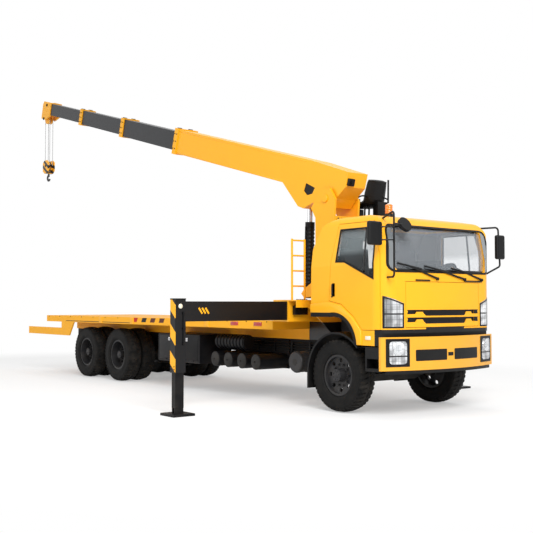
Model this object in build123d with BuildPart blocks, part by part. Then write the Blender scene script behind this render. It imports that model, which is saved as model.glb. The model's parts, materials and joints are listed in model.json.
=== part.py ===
"""Three-axle truck with a telescopic loader crane behind its cab, flat deck and two outriggers.

Millimetres, +X forward, +Y to the truck's left, +Z up, ground at Z = 0.
The origin is on the ground, under the middle of the whole machine with its boom run out to the rear.
"""

import os
from math import cos, radians, sin

from build123d import *

os.makedirs("parts", exist_ok=True)

# Wheels and axles
TYRE_DIAMETER = 1085
TYRE_WIDTH = 300
RIM_DIAMETER = 570
RIM_WIDTH = 230
HUB_DIAMETER = 250
WHEEL_TRACK_HALF = 1014
TWIN_SPACING = 330
WHEELBASE = 6650
BOGIE_SPACING = 1400
KINGPIN_HALF_TRACK = 860
KINGPIN_DIAMETER = 44
SPINDLE_DIAMETER = 90
REAR_SPINDLE_DIAMETER = 140
BEARING_CLEARANCE = 0.4

# Chassis
RAIL_HALF_SPACING = 425
RAIL_WIDTH = 80
RAIL_HEIGHT = 260
RAIL_WEB = 10
RAIL_TOP = 1000
FRAME_FRONT = 860
FRAME_REAR = 9900
CROSS_MEMBER_LENGTH = 120
SPRING_WIDTH = 80
LEAF_THICKNESS = 18
FRONT_OVERHANG = 1180

# Deck
DECK_FRONT = 1450
DECK_LENGTH = 8520
DECK_HALF_WIDTH = 1200
DECK_TOP = 1320
DECK_SIDE_HEIGHT = 140
DECK_SIDE_WIDTH = 60
DECK_PLATE = 30
TAIL_POST_SETBACK = 870
TAIL_RAIL_LENGTH = 1900
TAIL_RAIL_HEIGHT = 165
TAIL_RAIL_BOTTOM = 875

# Cab
CAB_HALF_WIDTH = 1200
CAB_WALL = 60
CAB_FRONT = 1095
CAB_REAR = 520
CAB_ROOF = 2890
CAB_SILL = 1005
CAB_ARCH_TOP = 1460
PANEL_GAP = 7
DOOR_FRONT = 900
DOOR_REAR = 110
DOOR_BOTTOM = 1225
LID_HALF_WIDTH = 800
LID_BOTTOM = 1262
LID_TOP = 1905
LID_THICKNESS = 30
GLASS = 8
BUMPER_TOP = 1128
BUMPER_BOTTOM = 660
BUMPER_HALF_WIDTH = 1220
BUMPER_WALL = 40

# Crane
COLUMN_SETBACK = 1200
HOUSING_HALF_WIDTH = 1200
HOUSING_TOP = 1655
HOUSING_WALL = 20
BEAM_WIDTH = 130
BEAM_HEIGHT = 290
BEAM_WALL = 12
BEAM_LENGTH = 2280
BEAM_REACH = 3090
BEAM_STAGGER = 190
SLIDE_CLEARANCE = 6
PAD_CLEARANCE = 0.4
PAD_LENGTH = 60
LEG_DEPTH = 180
LEG_WIDTH = 130
LEG_TOP = 1660
LEG_BOTTOM = 610
JACK_WALL = 10
FOOT_SIZE = 360
FOOT_THICKNESS = 35
SLEW_RING_DIAMETER = 700
SLEW_RING_HEIGHT = 50
COLUMN_DEPTH = 460
COLUMN_HALF_WIDTH = 285
CHEEK_THICKNESS = 40
PIVOT_HEIGHT = 3330
PIVOT_DIAMETER = 90

# Boom, measured along it (u) and square to it (v) from its pivot
BOOM_ANGLE = 15.7
BOOM_AXIS = 310
BOOM_TAIL = 360
BASE_LENGTH = 5030
BASE_HEIGHT = 490
BASE_WIDTH = 440
BOOM_WALL = 14
COLLAR_LENGTH = 130
COLLAR_PROUD = 50
SECTION_HEIGHTS = (390, 345, 300)
SECTION_WIDTHS = (360, 315, 270)
SECTION_STARTS = (4080, 6400, 8700)
SECTION_ENDS = (7480, 9690, 11620)
HEAD_LENGTH = 400
HEAD_DROP = 470
SHEAVE_DIAMETER = 260
LUG_U = 675
LUG_V = -190
ROPE_DIAMETER = 14
ROPE_FALL = 1130

# Stations along the truck
TIP_U = SECTION_ENDS[2] + HEAD_LENGTH
SHEAVE_RADIUS = SHEAVE_DIAMETER / 2
SHEAVE_U = TIP_U - SHEAVE_RADIUS - 30
SHEAVE_V = BOOM_AXIS - SECTION_HEIGHTS[2] / 2 - 130
ROPE_RADIUS = ROPE_DIAMETER / 2
ROPE_OFFSET = SHEAVE_RADIUS + ROPE_RADIUS + 0.3
BLOCK_HALF_WIDTH = ROPE_OFFSET + 28
BOOM_SIN = sin(radians(BOOM_ANGLE))
BOOM_COS = cos(radians(BOOM_ANGLE))
TIP_REACH = SHEAVE_U * BOOM_COS - SHEAVE_V * BOOM_SIN + BLOCK_HALF_WIDTH
FRONT_AXLE_X = (COLUMN_SETBACK + TIP_REACH - FRONT_OVERHANG) / 2
REAR_AXLES_X = (FRONT_AXLE_X - WHEELBASE, FRONT_AXLE_X - WHEELBASE - BOGIE_SPACING)
WHEEL_RADIUS = TYRE_DIAMETER / 2
RAIL_BOTTOM = RAIL_TOP - RAIL_HEIGHT
COLUMN_X = FRONT_AXLE_X - COLUMN_SETBACK
DECK_FRONT_X = FRONT_AXLE_X - DECK_FRONT
DECK_REAR_X = DECK_FRONT_X - DECK_LENGTH
SIDES = {"right": -1, "left": 1}


def side_slab(points, y_low, y_high, mode=Mode.ADD):
    """Extrude a closed outline, drawn in X and Z, between two Y planes of the part in hand."""
    with BuildSketch(Plane.XZ.offset(-y_high)) as outline:
        with BuildLine():
            Polyline(*points, close=True)
        make_face()
    extrude(outline.sketch, amount=y_high - y_low, mode=mode)


def block(x_range, y_range, z_range, mode=Mode.ADD):
    """Add a rectangular block between given limits to the part in hand."""
    centre = [(low + high) / 2 for low, high in (x_range, y_range, z_range)]
    size = [high - low for low, high in (x_range, y_range, z_range)]
    with Locations(tuple(centre)):
        Box(*size, mode=mode)


def cross_cylinder(x, z, radius, y_low, y_high, mode=Mode.ADD):
    """Add a round bar that lies across the truck to the part in hand."""
    with BuildSketch(Plane.XZ.offset(-y_high)) as disc:
        with Locations((x, z)):
            Circle(radius)
    extrude(disc.sketch, amount=y_high - y_low, mode=mode)


def save(builder, node):
    """Label a finished piece and write it to its own file."""
    builder.part.label = node
    export_step(builder.part, f"parts/{node}.step")


# Chassis frame: two channel rails with box cross members between their webs
def rail_section(side):
    """Draw one channel rail's section, open towards the middle of the truck, as the sketch in hand."""
    centre = side * (RAIL_HALF_SPACING - RAIL_WIDTH / 2)
    with Locations((centre, RAIL_TOP - RAIL_HEIGHT / 2)):
        Rectangle(RAIL_WIDTH, RAIL_HEIGHT)
    with Locations((centre - side * RAIL_WEB, RAIL_TOP - RAIL_HEIGHT / 2)):
        Rectangle(RAIL_WIDTH, RAIL_HEIGHT - 2 * RAIL_WEB, mode=Mode.SUBTRACT)


FRAME_FRONT_X = FRONT_AXLE_X + FRAME_FRONT
FRAME_REAR_X = FRONT_AXLE_X - FRAME_REAR
WEB_INSIDE = RAIL_HALF_SPACING - RAIL_WEB
MEMBER_HEIGHT = RAIL_HEIGHT - 2 * RAIL_WEB
CROSS_MEMBERS_X = (
    FRAME_FRONT_X - 260,
    COLUMN_X,
    FRONT_AXLE_X - 2600,
    FRONT_AXLE_X - 4100,
    REAR_AXLES_X[0] + BOGIE_SPACING / 2,
    REAR_AXLES_X[0] - BOGIE_SPACING / 2,
    REAR_AXLES_X[1] - BOGIE_SPACING / 2,
    FRAME_REAR_X + CROSS_MEMBER_LENGTH,
)

with BuildPart() as chassis_frame:
    for side in SIDES.values():
        with BuildSketch(Plane.YZ.offset(FRAME_REAR_X)):
            rail_section(side)
        extrude(amount=FRAME_FRONT + FRAME_REAR)
    for member_x in CROSS_MEMBERS_X:
        with Locations((member_x, 0, RAIL_TOP - RAIL_HEIGHT / 2)):
            Box(CROSS_MEMBER_LENGTH, 2 * WEB_INSIDE, MEMBER_HEIGHT)
            Box(CROSS_MEMBER_LENGTH - 2 * RAIL_WEB, 2 * WEB_INSIDE - 2 * RAIL_WIDTH,
                MEMBER_HEIGHT, mode=Mode.SUBTRACT)
save(chassis_frame, "chassis_frame")

# Front axle: a dropped beam that ends in two kingpin bosses
BOSS_RADIUS = 52
BOSS_HEIGHT = 120
BEAM_DROP = 70
AXLE_BEAM_HEIGHT = 110
AXLE_BEAM_LENGTH = 100
SPRING_SEAT_Z = WHEEL_RADIUS - BEAM_DROP + AXLE_BEAM_HEIGHT / 2

with BuildPart() as front_axle:
    with BuildSketch(Plane.YZ.offset(FRONT_AXLE_X - AXLE_BEAM_LENGTH / 2)):
        with BuildLine():
            Polyline(
                (-KINGPIN_HALF_TRACK, WHEEL_RADIUS + AXLE_BEAM_HEIGHT / 2),
                (-KINGPIN_HALF_TRACK + 130, WHEEL_RADIUS + AXLE_BEAM_HEIGHT / 2),
                (-RAIL_HALF_SPACING - 60, SPRING_SEAT_Z),
                (RAIL_HALF_SPACING + 60, SPRING_SEAT_Z),
                (KINGPIN_HALF_TRACK - 130, WHEEL_RADIUS + AXLE_BEAM_HEIGHT / 2),
                (KINGPIN_HALF_TRACK, WHEEL_RADIUS + AXLE_BEAM_HEIGHT / 2),
                (KINGPIN_HALF_TRACK, WHEEL_RADIUS - AXLE_BEAM_HEIGHT / 2),
                (KINGPIN_HALF_TRACK - 130, WHEEL_RADIUS - AXLE_BEAM_HEIGHT / 2),
                (RAIL_HALF_SPACING + 60, SPRING_SEAT_Z - AXLE_BEAM_HEIGHT),
                (-RAIL_HALF_SPACING - 60, SPRING_SEAT_Z - AXLE_BEAM_HEIGHT),
                (-KINGPIN_HALF_TRACK + 130, WHEEL_RADIUS - AXLE_BEAM_HEIGHT / 2),
                (-KINGPIN_HALF_TRACK, WHEEL_RADIUS - AXLE_BEAM_HEIGHT / 2),
                close=True,
            )
        make_face()
    extrude(amount=AXLE_BEAM_LENGTH)
    with Locations(*[(FRONT_AXLE_X, side * KINGPIN_HALF_TRACK, WHEEL_RADIUS) for side in SIDES.values()]):
        Cylinder(BOSS_RADIUS, BOSS_HEIGHT)
        Cylinder(KINGPIN_DIAMETER / 2 + BEARING_CLEARANCE, BOSS_HEIGHT, mode=Mode.SUBTRACT)
save(front_axle, "front_axle")

# Steering knuckles: a fork over the boss, with its kingpin and a spindle for the hub
FORK_GAP = 1
FORK_ARM = 45
KNUCKLE_PLATE = 40
SPINDLE_END = WHEEL_TRACK_HALF + 60

for side_name, side in SIDES.items():
    with BuildPart() as knuckle:
        arm_z = BOSS_HEIGHT / 2 + FORK_GAP + FORK_ARM / 2
        plate_start = BOSS_RADIUS + 6
        for sign in (-1, 1):
            with Locations((FRONT_AXLE_X, side * KINGPIN_HALF_TRACK, WHEEL_RADIUS + sign * arm_z)):
                Cylinder(BOSS_RADIUS, FORK_ARM)
            arm_ends = sorted((side * KINGPIN_HALF_TRACK, side * (KINGPIN_HALF_TRACK + plate_start + KNUCKLE_PLATE)))
            block(
                (FRONT_AXLE_X - BOSS_RADIUS, FRONT_AXLE_X + BOSS_RADIUS),
                arm_ends,
                sorted((WHEEL_RADIUS + sign * (arm_z - FORK_ARM / 2), WHEEL_RADIUS + sign * (arm_z + FORK_ARM / 2))),
            )
        block(
            (FRONT_AXLE_X - BOSS_RADIUS, FRONT_AXLE_X + BOSS_RADIUS),
            sorted((side * (KINGPIN_HALF_TRACK + plate_start),
                    side * (KINGPIN_HALF_TRACK + plate_start + KNUCKLE_PLATE))),
            (WHEEL_RADIUS - arm_z - FORK_ARM / 2, WHEEL_RADIUS + arm_z + FORK_ARM / 2),
        )
        with Locations((FRONT_AXLE_X, side * KINGPIN_HALF_TRACK, WHEEL_RADIUS)):
            Cylinder(KINGPIN_DIAMETER / 2, 2 * arm_z)
        spindle_ends = sorted((side * (KINGPIN_HALF_TRACK + plate_start), side * SPINDLE_END))
        cross_cylinder(FRONT_AXLE_X, WHEEL_RADIUS, SPINDLE_DIAMETER / 2, *spindle_ends)
    save(knuckle, f"steering_knuckle_{side_name}")

# Rear axles: a tube with a differential bowl in its middle and a spindle at each end
AXLE_TUBE_RADIUS = 85
DIFF_RADIUS = 215
REAR_SPINDLE_START = 560

with BuildPart() as rear_axles:
    for axle_x in REAR_AXLES_X:
        with BuildSketch(Plane(origin=(axle_x, 0, WHEEL_RADIUS))) as housing:
            with BuildLine():
                Polyline(
                    (0, REAR_SPINDLE_START), (AXLE_TUBE_RADIUS, REAR_SPINDLE_START),
                    (AXLE_TUBE_RADIUS, 300), (DIFF_RADIUS, 110), (DIFF_RADIUS, -110),
                    (AXLE_TUBE_RADIUS, -300), (AXLE_TUBE_RADIUS, -REAR_SPINDLE_START),
                    (0, -REAR_SPINDLE_START), close=True,
                )
            make_face()
        revolve(housing.sketch, Axis((axle_x, 0, WHEEL_RADIUS), (0, 1, 0)))
        cross_cylinder(axle_x, WHEEL_RADIUS, REAR_SPINDLE_DIAMETER / 2,
                       -WHEEL_TRACK_HALF - 60, WHEEL_TRACK_HALF + 60)
save(rear_axles, "rear_axles")

# Wheels: a stepped rim with a dished disc and a hub, and a tyre seated on the rim
RIM_RADIUS = RIM_DIAMETER / 2
RIM_FLANGE = 18
RIM_SHELL = 14
HUB_RADIUS = HUB_DIAMETER / 2
FRONT_HUB_PROUD = 95
TYRE_SHOULDER = 60
TYRE_CROWN = 12


def wheel_plane(x, y, side):
    """Give a plane on the wheel's axis whose second axis points outwards from the truck.

    The first axis of the plane points down from the axle, so that a profile is drawn as (radius, offset).
    """
    return Plane(origin=(x, y, WHEEL_RADIUS), x_dir=(0, 0, -1), z_dir=(side, 0, 0))


def spin_profile(points, x, y, side, mode=Mode.ADD):
    """Revolve a (radius, outward offset) outline about a wheel's axis, in the part in hand."""
    with BuildSketch(wheel_plane(x, y, side)) as outline:
        with BuildLine():
            Polyline(*points, close=True)
        make_face()
    revolve(outline.sketch, Axis((x, y, WHEEL_RADIUS), (0, 1, 0)), mode=mode)


def rim(x, y, side, disc_offset, bore, hub_end):
    """Add a rim barrel, its dished disc and its hub to the part in hand."""
    half = RIM_WIDTH / 2
    inner = RIM_RADIUS - RIM_SHELL
    spin_profile(
        (
            (bore, disc_offset - 40), (HUB_RADIUS, disc_offset - 40), (inner, disc_offset - 15),
            (inner, -half), (RIM_RADIUS + RIM_FLANGE, -half), (RIM_RADIUS + RIM_FLANGE, -half + RIM_SHELL),
            (RIM_RADIUS, -half + RIM_SHELL), (RIM_RADIUS, half - RIM_SHELL),
            (RIM_RADIUS + RIM_FLANGE, half - RIM_SHELL), (RIM_RADIUS + RIM_FLANGE, half), (inner, half),
            (inner, disc_offset + 5), (HUB_RADIUS, disc_offset - 18), (HUB_RADIUS * 0.8, disc_offset - 18),
            (HUB_RADIUS * 0.72, hub_end), (bore, hub_end),
        ),
        x, y, side,
    )


def tyre(x, y, side):
    """Add one tyre to the part in hand."""
    half = TYRE_WIDTH / 2
    bead = RIM_WIDTH / 2 - RIM_SHELL
    spin_profile(
        (
            (RIM_RADIUS, -bead), (RIM_RADIUS + RIM_FLANGE + 6, -bead), (RIM_RADIUS + RIM_FLANGE + 6, -half + 22),
            (RIM_RADIUS + 110, -half), (WHEEL_RADIUS - TYRE_SHOULDER, -half + 6),
            (WHEEL_RADIUS - TYRE_CROWN, -half + 22), (WHEEL_RADIUS, -half + TYRE_SHOULDER),
            (WHEEL_RADIUS, half - TYRE_SHOULDER), (WHEEL_RADIUS - TYRE_CROWN, half - 22),
            (WHEEL_RADIUS - TYRE_SHOULDER, half - 6), (RIM_RADIUS + 110, half),
            (RIM_RADIUS + RIM_FLANGE + 6, half - 22), (RIM_RADIUS + RIM_FLANGE + 6, bead), (RIM_RADIUS, bead),
        ),
        x, y, side,
    )


HAND_HOLES = 8
HAND_HOLE_RADIUS = 32
HAND_HOLE_CIRCLE = (RIM_RADIUS + HUB_RADIUS) / 2 + 15


def hand_holes(x, y, side):
    """Cut the ring of round holes through a wheel's disc in the part in hand."""
    with BuildSketch(Plane(origin=(x, y - 500, WHEEL_RADIUS), x_dir=(1, 0, 0), z_dir=(0, 1, 0))) as ring:
        with PolarLocations(HAND_HOLE_CIRCLE, HAND_HOLES):
            Circle(HAND_HOLE_RADIUS)
    extrude(ring.sketch, amount=1000, mode=Mode.SUBTRACT)


FRONT_DISC_OFFSET = 55
for side_name, side in SIDES.items():
    with BuildPart() as front_rim:
        rim(FRONT_AXLE_X, side * WHEEL_TRACK_HALF, side, FRONT_DISC_OFFSET,
            SPINDLE_DIAMETER / 2 + BEARING_CLEARANCE, FRONT_DISC_OFFSET + FRONT_HUB_PROUD)
        hand_holes(FRONT_AXLE_X, side * WHEEL_TRACK_HALF, side)
        hub_cap = sorted((side * (SPINDLE_END + 1), side * (WHEEL_TRACK_HALF + FRONT_DISC_OFFSET + FRONT_HUB_PROUD)))
        cross_cylinder(FRONT_AXLE_X, WHEEL_RADIUS, HUB_RADIUS * 0.72, *hub_cap)
    save(front_rim, f"front_wheel_{side_name}")
    with BuildPart() as front_tyre:
        tyre(FRONT_AXLE_X, side * WHEEL_TRACK_HALF, side)
    save(front_tyre, f"front_tyre_{side_name}")

REAR_HUB_END = -20
for axle_name, axle_x in zip(("middle", "rear"), REAR_AXLES_X):
    for side_name, side in SIDES.items():
        outer_y = side * WHEEL_TRACK_HALF
        inner_y = side * (WHEEL_TRACK_HALF - TWIN_SPACING)
        with BuildPart() as twin_rim:
            bore = REAR_SPINDLE_DIAMETER / 2 + BEARING_CLEARANCE
            rim(axle_x, outer_y, side, -RIM_WIDTH / 2 + 50, bore, REAR_HUB_END)
            rim(axle_x, inner_y, side, RIM_WIDTH / 2 - 12, bore, TWIN_SPACING - RIM_WIDTH / 2 + 10)
            hand_holes(axle_x, outer_y, side)
            cap_ends = sorted((side * (WHEEL_TRACK_HALF + 61), side * (WHEEL_TRACK_HALF + 90)))
            cross_cylinder(axle_x, WHEEL_RADIUS, HUB_RADIUS * 0.6, *cap_ends)
            sleeve_ends = sorted((side * (WHEEL_TRACK_HALF + REAR_HUB_END - 1), side * (WHEEL_TRACK_HALF + 90)))
            cross_cylinder(axle_x, WHEEL_RADIUS, HUB_RADIUS * 0.6, *sleeve_ends)
            bore_ends = sorted((side * (WHEEL_TRACK_HALF + REAR_HUB_END - 60), side * (WHEEL_TRACK_HALF + 61)))
            cross_cylinder(axle_x, WHEEL_RADIUS, bore, *bore_ends, mode=Mode.SUBTRACT)
        save(twin_rim, f"{axle_name}_wheels_{side_name}")
        with BuildPart() as twin_tyres:
            tyre(axle_x, outer_y, side)
            tyre(axle_x, inner_y, side)
        save(twin_tyres, f"{axle_name}_tyres_{side_name}")

# Leaf springs: bowed packs over the front axle, and packs that bridge each pair of rear axles
FRONT_SPRING_HALF = 650
FRONT_PACK = 4 * LEAF_THICKNESS
SPRING_Y = RAIL_HALF_SPACING - RAIL_WIDTH / 2
HANGER_LENGTH = 90
REAR_SPRING_HALF = BOGIE_SPACING / 2 + 70
REAR_SEAT_Z = WHEEL_RADIUS + AXLE_TUBE_RADIUS
BOGIE_X = sum(REAR_AXLES_X) / 2
TRUNNION_LENGTH = 260

with BuildPart() as leaf_springs:
    for side in SIDES.values():
        spring_plane = Plane.XZ.offset(-(side * SPRING_Y + SPRING_WIDTH / 2))
        front_end_z = RAIL_BOTTOM - LEAF_THICKNESS
        with BuildSketch(spring_plane) as front_pack:
            with BuildLine():
                lower = ThreePointArc(
                    (FRONT_AXLE_X - FRONT_SPRING_HALF, front_end_z),
                    (FRONT_AXLE_X, SPRING_SEAT_Z),
                    (FRONT_AXLE_X + FRONT_SPRING_HALF, front_end_z),
                )
                Line(lower @ 1, (FRONT_AXLE_X + FRONT_SPRING_HALF, RAIL_BOTTOM))
                ThreePointArc(
                    (FRONT_AXLE_X + FRONT_SPRING_HALF, RAIL_BOTTOM),
                    (FRONT_AXLE_X, SPRING_SEAT_Z + FRONT_PACK),
                    (FRONT_AXLE_X - FRONT_SPRING_HALF, RAIL_BOTTOM),
                )
                Line((FRONT_AXLE_X - FRONT_SPRING_HALF, RAIL_BOTTOM), lower @ 0)
            make_face()
        extrude(front_pack.sketch, amount=SPRING_WIDTH)
        for end in (-1, 1):
            hanger_x = FRONT_AXLE_X + end * FRONT_SPRING_HALF
            block((hanger_x - HANGER_LENGTH / 2, hanger_x + HANGER_LENGTH / 2),
                  (side * SPRING_Y - SPRING_WIDTH / 2, side * SPRING_Y + SPRING_WIDTH / 2),
                  (front_end_z - LEAF_THICKNESS, RAIL_BOTTOM))
        with BuildSketch(spring_plane) as rear_pack:
            with BuildLine():
                Polyline(
                    (BOGIE_X - REAR_SPRING_HALF, REAR_SEAT_Z + LEAF_THICKNESS),
                    (BOGIE_X - REAR_SPRING_HALF, REAR_SEAT_Z),
                    (BOGIE_X + REAR_SPRING_HALF, REAR_SEAT_Z),
                    (BOGIE_X + REAR_SPRING_HALF, REAR_SEAT_Z + LEAF_THICKNESS),
                )
                ThreePointArc(
                    (BOGIE_X + REAR_SPRING_HALF, REAR_SEAT_Z + LEAF_THICKNESS),
                    (BOGIE_X, RAIL_BOTTOM - LEAF_THICKNESS),
                    (BOGIE_X - REAR_SPRING_HALF, REAR_SEAT_Z + LEAF_THICKNESS),
                )
            make_face()
        extrude(rear_pack.sketch, amount=SPRING_WIDTH)
        block((BOGIE_X - TRUNNION_LENGTH / 2, BOGIE_X + TRUNNION_LENGTH / 2),
              (side * SPRING_Y - SPRING_WIDTH / 2, side * SPRING_Y + SPRING_WIDTH / 2),
              (REAR_SEAT_Z, RAIL_BOTTOM))
save(leaf_springs, "leaf_springs")

# Engine: one plain block between the rails, on four mounting feet
ENGINE_FRONT = 180
ENGINE_REAR = 800
ENGINE_HALF_WIDTH = 310
ENGINE_BOTTOM = 640
ENGINE_TOP = 1365
ENGINE_FOOT = 90

with BuildPart() as engine_block:
    block((FRONT_AXLE_X - ENGINE_REAR, FRONT_AXLE_X + ENGINE_FRONT),
          (-ENGINE_HALF_WIDTH, ENGINE_HALF_WIDTH), (ENGINE_BOTTOM, ENGINE_TOP))
    for foot_x in (FRONT_AXLE_X - ENGINE_REAR + 2 * ENGINE_FOOT, FRONT_AXLE_X + ENGINE_FRONT - 2 * ENGINE_FOOT):
        block((foot_x - ENGINE_FOOT / 2, foot_x + ENGINE_FOOT / 2), (-RAIL_HALF_SPACING, RAIL_HALF_SPACING),
              (RAIL_TOP, RAIL_TOP + ENGINE_FOOT / 2))
save(engine_block, "engine_block")

# Front bumper: a bowed deep channel on two brackets, with lamp pockets and air slots
BUMPER_CORNER = 968
BUMPER_SLOT = ((90, 600), (850, 940))
LAMP_POCKET = ((780, 1150), (715, 1105))
POCKET_CLEARANCE = 0.5
BUMPER_CORNER_X = FRONT_AXLE_X + BUMPER_CORNER
BUMPER_FRONT_X = FRONT_AXLE_X + FRONT_OVERHANG


def bumper_band(front_inset, back_inset, z_low, z_high):
    """Extrude the band between two bows that follow the bumper's front, in the part in hand."""
    with BuildSketch(Plane.XY.offset(z_low)) as band:
        with BuildLine():
            front = ThreePointArc(
                (BUMPER_CORNER_X - front_inset, -BUMPER_HALF_WIDTH),
                (BUMPER_FRONT_X - front_inset, 0),
                (BUMPER_CORNER_X - front_inset, BUMPER_HALF_WIDTH),
            )
            back = ThreePointArc(
                (BUMPER_CORNER_X - back_inset, BUMPER_HALF_WIDTH),
                (BUMPER_FRONT_X - back_inset, 0),
                (BUMPER_CORNER_X - back_inset, -BUMPER_HALF_WIDTH),
            )
            Line(front @ 1, back @ 0)
            Line(back @ 1, front @ 0)
        make_face()
    extrude(band.sketch, amount=z_high - z_low)


def front_window(y_range, z_range, x_low, x_high, mode):
    """Add or cut a block that runs fore and aft through the front, in the part in hand."""
    block((x_low, x_high), y_range, z_range, mode=mode)


with BuildPart() as front_bumper:
    bumper_band(0, BUMPER_WALL, BUMPER_BOTTOM, BUMPER_TOP)
    for side in SIDES.values():
        bracket_y = sorted((side * (RAIL_HALF_SPACING - RAIL_WIDTH), side * RAIL_HALF_SPACING))
        block((FRAME_FRONT_X, BUMPER_FRONT_X - BUMPER_WALL - 15), bracket_y,
              (RAIL_BOTTOM + RAIL_WEB, RAIL_TOP - RAIL_WEB))
        for y_pair, z_pair, grow in (BUMPER_SLOT + (0,), LAMP_POCKET + (POCKET_CLEARANCE,)):
            cut_y = sorted(side * (y + sign * grow) for y, sign in zip(y_pair, (-1, 1)))
            front_window(cut_y, (z_pair[0] - grow, z_pair[1] + grow),
                         BUMPER_CORNER_X - 3 * BUMPER_WALL, BUMPER_FRONT_X, Mode.SUBTRACT)
save(front_bumper, "front_bumper")

with BuildPart() as bumper_lamps:
    bumper_band(-6, BUMPER_WALL, *LAMP_POCKET[1])
    for low, high in ((-LAMP_POCKET[0][0], LAMP_POCKET[0][0]), (LAMP_POCKET[0][1], 2 * BUMPER_HALF_WIDTH),
                      (-2 * BUMPER_HALF_WIDTH, -LAMP_POCKET[0][1])):
        front_window((low, high), (0, CAB_ROOF), 0, 2 * BUMPER_FRONT_X, Mode.SUBTRACT)
save(bumper_lamps, "bumper_lamps")

# Front mudguards: a half ring over each steered wheel with a flap behind it, on a bracket from the rail
GUARD_INSIDE = 605
GUARD_SKIN = 30
GUARD_INNER_Y = 720
GUARD_OUTER_Y = 1180
GUARD_FRONT_ANGLE = 43
FLAP_BOTTOM = 315
GUARD_BRACKET = 50

with BuildPart() as mudguards:
    for side in SIDES.values():
        outside = GUARD_INSIDE + GUARD_SKIN
        guard_y = sorted((side * GUARD_INNER_Y, side * GUARD_OUTER_Y))
        with BuildSketch(Plane.XZ.offset(-guard_y[1])) as arch:
            with BuildLine():
                outer_arc = CenterArc((FRONT_AXLE_X, WHEEL_RADIUS), outside, GUARD_FRONT_ANGLE, 180 - GUARD_FRONT_ANGLE)
                inner_arc = CenterArc((FRONT_AXLE_X, WHEEL_RADIUS), GUARD_INSIDE, GUARD_FRONT_ANGLE,
                                      180 - GUARD_FRONT_ANGLE)
                Polyline(
                    outer_arc @ 1, (FRONT_AXLE_X - outside, FLAP_BOTTOM),
                    (FRONT_AXLE_X - GUARD_INSIDE, FLAP_BOTTOM), inner_arc @ 1,
                )
                Line(inner_arc @ 0, outer_arc @ 0)
            make_face()
        extrude(arch.sketch, amount=guard_y[1] - guard_y[0])
        bracket_z = (RAIL_TOP - 2 * GUARD_BRACKET, RAIL_TOP - GUARD_BRACKET)
        bracket_x = FRONT_AXLE_X - (GUARD_INSIDE**2 - (bracket_z[0] - WHEEL_RADIUS) ** 2) ** 0.5
        block((bracket_x - GUARD_SKIN / 2, bracket_x + GUARD_SKIN / 2),
              sorted((side * RAIL_HALF_SPACING, side * (GUARD_INNER_Y + GUARD_BRACKET))), bracket_z)
save(mudguards, "mudguards")

# Cab steps: a stepped box behind each bumper corner, on an arm from the rail
STEP_FRONT = 915
STEP_REAR = 625
STEP_INNER_Y = 830
STEP_OUTER_Y = 1185
STEP_BOTTOM = 640
STEP_TOP = 985
TREAD_RECESS = 90

with BuildPart() as cab_steps:
    for side in SIDES.values():
        step_x = (FRONT_AXLE_X + STEP_REAR, FRONT_AXLE_X + STEP_FRONT)
        block(step_x, sorted((side * STEP_INNER_Y, side * STEP_OUTER_Y)), (STEP_BOTTOM, STEP_TOP))
        tread = sorted((side * (STEP_OUTER_Y - 2 * TREAD_RECESS), side * (STEP_OUTER_Y + 1)))
        block((step_x[0] + TREAD_RECESS / 3, step_x[1] - TREAD_RECESS / 3), tread,
              (STEP_BOTTOM + TREAD_RECESS / 2, STEP_BOTTOM + 2 * TREAD_RECESS), mode=Mode.SUBTRACT)
        block((step_x[0] + TREAD_RECESS, step_x[1] - TREAD_RECESS),
              sorted((side * RAIL_HALF_SPACING, side * STEP_INNER_Y)), (RAIL_BOTTOM + 20, RAIL_BOTTOM + 80))
save(cab_steps, "cab_steps")

# Air tanks: four drums across the truck, a ribbed oil cooler above them and the plate that carries both
TANK_RADIUS = 130
TANK_PITCH = 390
TANK_COUNT = 4
TANK_FIRST = 2080
TANK_OUTER_Y = 1060
TANK_Z = 625
CARRIER_PLATE = 20
COOLER_RADIUS = 120
COOLER_Z = 930
COOLER_Y = 900
COOLER_RIBS = 9
RIB_PROUD = 12

with BuildPart() as air_tanks:
    tank_back_x = FRONT_AXLE_X - TANK_FIRST - (TANK_COUNT - 1) * TANK_PITCH
    plate_x = (tank_back_x - TANK_RADIUS, FRONT_AXLE_X - TANK_FIRST + TANK_RADIUS)
    block(plate_x, (-RAIL_HALF_SPACING - CARRIER_PLATE, -RAIL_HALF_SPACING),
          (TANK_Z - TANK_RADIUS, RAIL_TOP - 2 * RAIL_WEB))
    for tank in range(TANK_COUNT):
        cross_cylinder(tank_back_x + tank * TANK_PITCH, TANK_Z, TANK_RADIUS,
                       -TANK_OUTER_Y, -RAIL_HALF_SPACING - CARRIER_PLATE)
    cooler_x = (tank_back_x - TANK_RADIUS / 2, tank_back_x + 2 * TANK_PITCH)
    with BuildSketch(Plane.YZ.offset(cooler_x[0])) as cooler:
        with Locations((-COOLER_Y, COOLER_Z)):
            Circle(COOLER_RADIUS)
    extrude(cooler.sketch, amount=cooler_x[1] - cooler_x[0])
    rib_pitch = (cooler_x[1] - cooler_x[0]) / COOLER_RIBS
    for rib in range(COOLER_RIBS):
        with BuildSketch(Plane.YZ.offset(cooler_x[0] + (rib + 0.25) * rib_pitch)) as ring:
            with Locations((-COOLER_Y, COOLER_Z)):
                Circle(COOLER_RADIUS + RIB_PROUD)
        extrude(ring.sketch, amount=rib_pitch / 2)
    for arm in (0.2, 0.8):
        arm_x = cooler_x[0] + arm * (cooler_x[1] - cooler_x[0])
        block((arm_x - CARRIER_PLATE, arm_x + CARRIER_PLATE), (-COOLER_Y, -RAIL_HALF_SPACING - CARRIER_PLATE),
              (COOLER_Z - CARRIER_PLATE, COOLER_Z + CARRIER_PLATE))
save(air_tanks, "air_tanks")

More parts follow.
